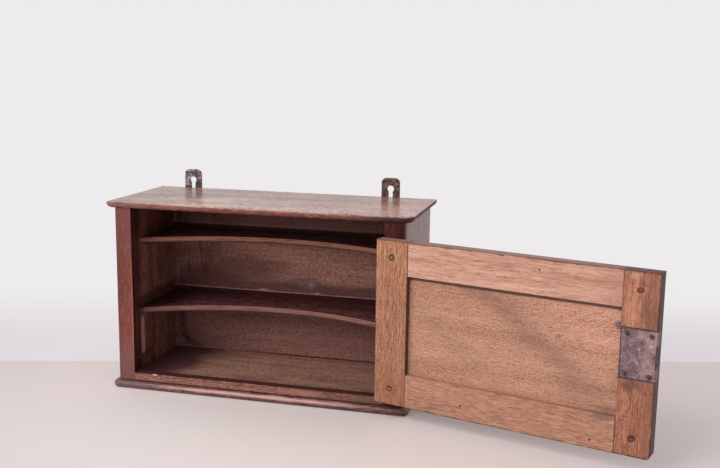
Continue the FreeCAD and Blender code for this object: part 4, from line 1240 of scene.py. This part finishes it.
# %% Cutting slots for good
def carve(piece, cutter):
    """Cuts one mesh out of another for good and throws the cutter away."""
    cut = piece.modifiers.new("slots", "BOOLEAN")
    cut.operation = "DIFFERENCE"
    cut.solver = "EXACT"
    cut.object = cutter
    ready = piece.evaluated_get(bpy.context.evaluated_depsgraph_get())
    carved = bpy.data.meshes.new_from_object(ready)
    piece.modifiers.clear()
    piece.data = carved
    bpy.data.objects.remove(cutter)


# %% Slotted screws
SLOT_WIDTH = 0.0008
SLOT_DEPTH = 0.0007
BLADE_LENGTH = 2.4
SCREW_SIDES = 28


def slotted_screws(name, node, outward, body):
    """Countersunk screws in place of a CAD node, with their slots."""
    heads = bmesh.new()
    blades = bmesh.new()
    for points in lumps(node):
        place, long, radius = seat(points, outward)
        rows = [
            (radius * 0.10, -long),
            (radius * 0.45, -long * 0.8),
            (radius * 0.50, -radius),
            (radius * 0.96, -radius * 0.22),
            (radius * 0.98, -radius * 0.10),
            (radius * 0.90, 0.0),
        ]
        turned(heads, place, rows, SCREW_SIDES, 0.0, chance)
        spin = Matrix.Rotation(chance.uniform(0, math.pi), 4, "Z")
        size = Matrix.Diagonal((radius * BLADE_LENGTH, SLOT_WIDTH, SLOT_DEPTH * 2, 1.0))
        bmesh.ops.create_cube(blades, size=1.0, matrix=place @ spin @ size)
    screws = mesh_piece(name, heads)
    carve(screws, mesh_piece("slot_blades", blades))
    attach(screws, body)
    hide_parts(node)
    screws.data.materials.clear()
    screws.data.materials.append(metals["dark_steel"])
    print(name, len(screws.data.polygons), "faces")


slotted_screws("hanger_slotted_screws", "hanger_screws", BACK, "cabinet")
slotted_screws("carcass_slotted_screws", "hinge_screws_carcass", -RIGHT, "cabinet")
slotted_screws("door_slotted_screws", "hinge_screws_door", -DOOR_ALONG, "door")

# %% [markdown]
# Hand-planed boards have no razor edges. A narrow Bevel breaks every arris, so light runs along it.
# The imported meshes are split at their edges, so each one is welded first and its flat faces are
# merged; the weighted normals keep the broad faces flat.

# %% Soften the arrises
ARRIS_WIDTH = 0.0006
WELD_GAP = 1e-6
SHARP = math.radians(35)
FLAT = math.radians(1)
ARRIS = {"width": ARRIS_WIDTH, "segments": 2, "limit_method": "ANGLE", "angle_limit": SHARP}
SOFTENING = (
    ("weld", "WELD", {"merge_threshold": WELD_GAP}),
    ("flats", "DECIMATE", {"decimate_type": "DISSOLVE", "angle_limit": FLAT}),
    ("arris", "BEVEL", ARRIS),
    ("smooth", "WEIGHTED_NORMAL", {}),
)

boards = [part for part in nodes.values() if part.material_slots[0].material.name.endswith("_oak")]
for board in boards:
    for label, kind, settings in SOFTENING:
        modifier = board.modifiers.new(label, kind)
        for setting, value in settings.items():
            setattr(modifier, setting, value)
print("softened:", len(boards), "boards")
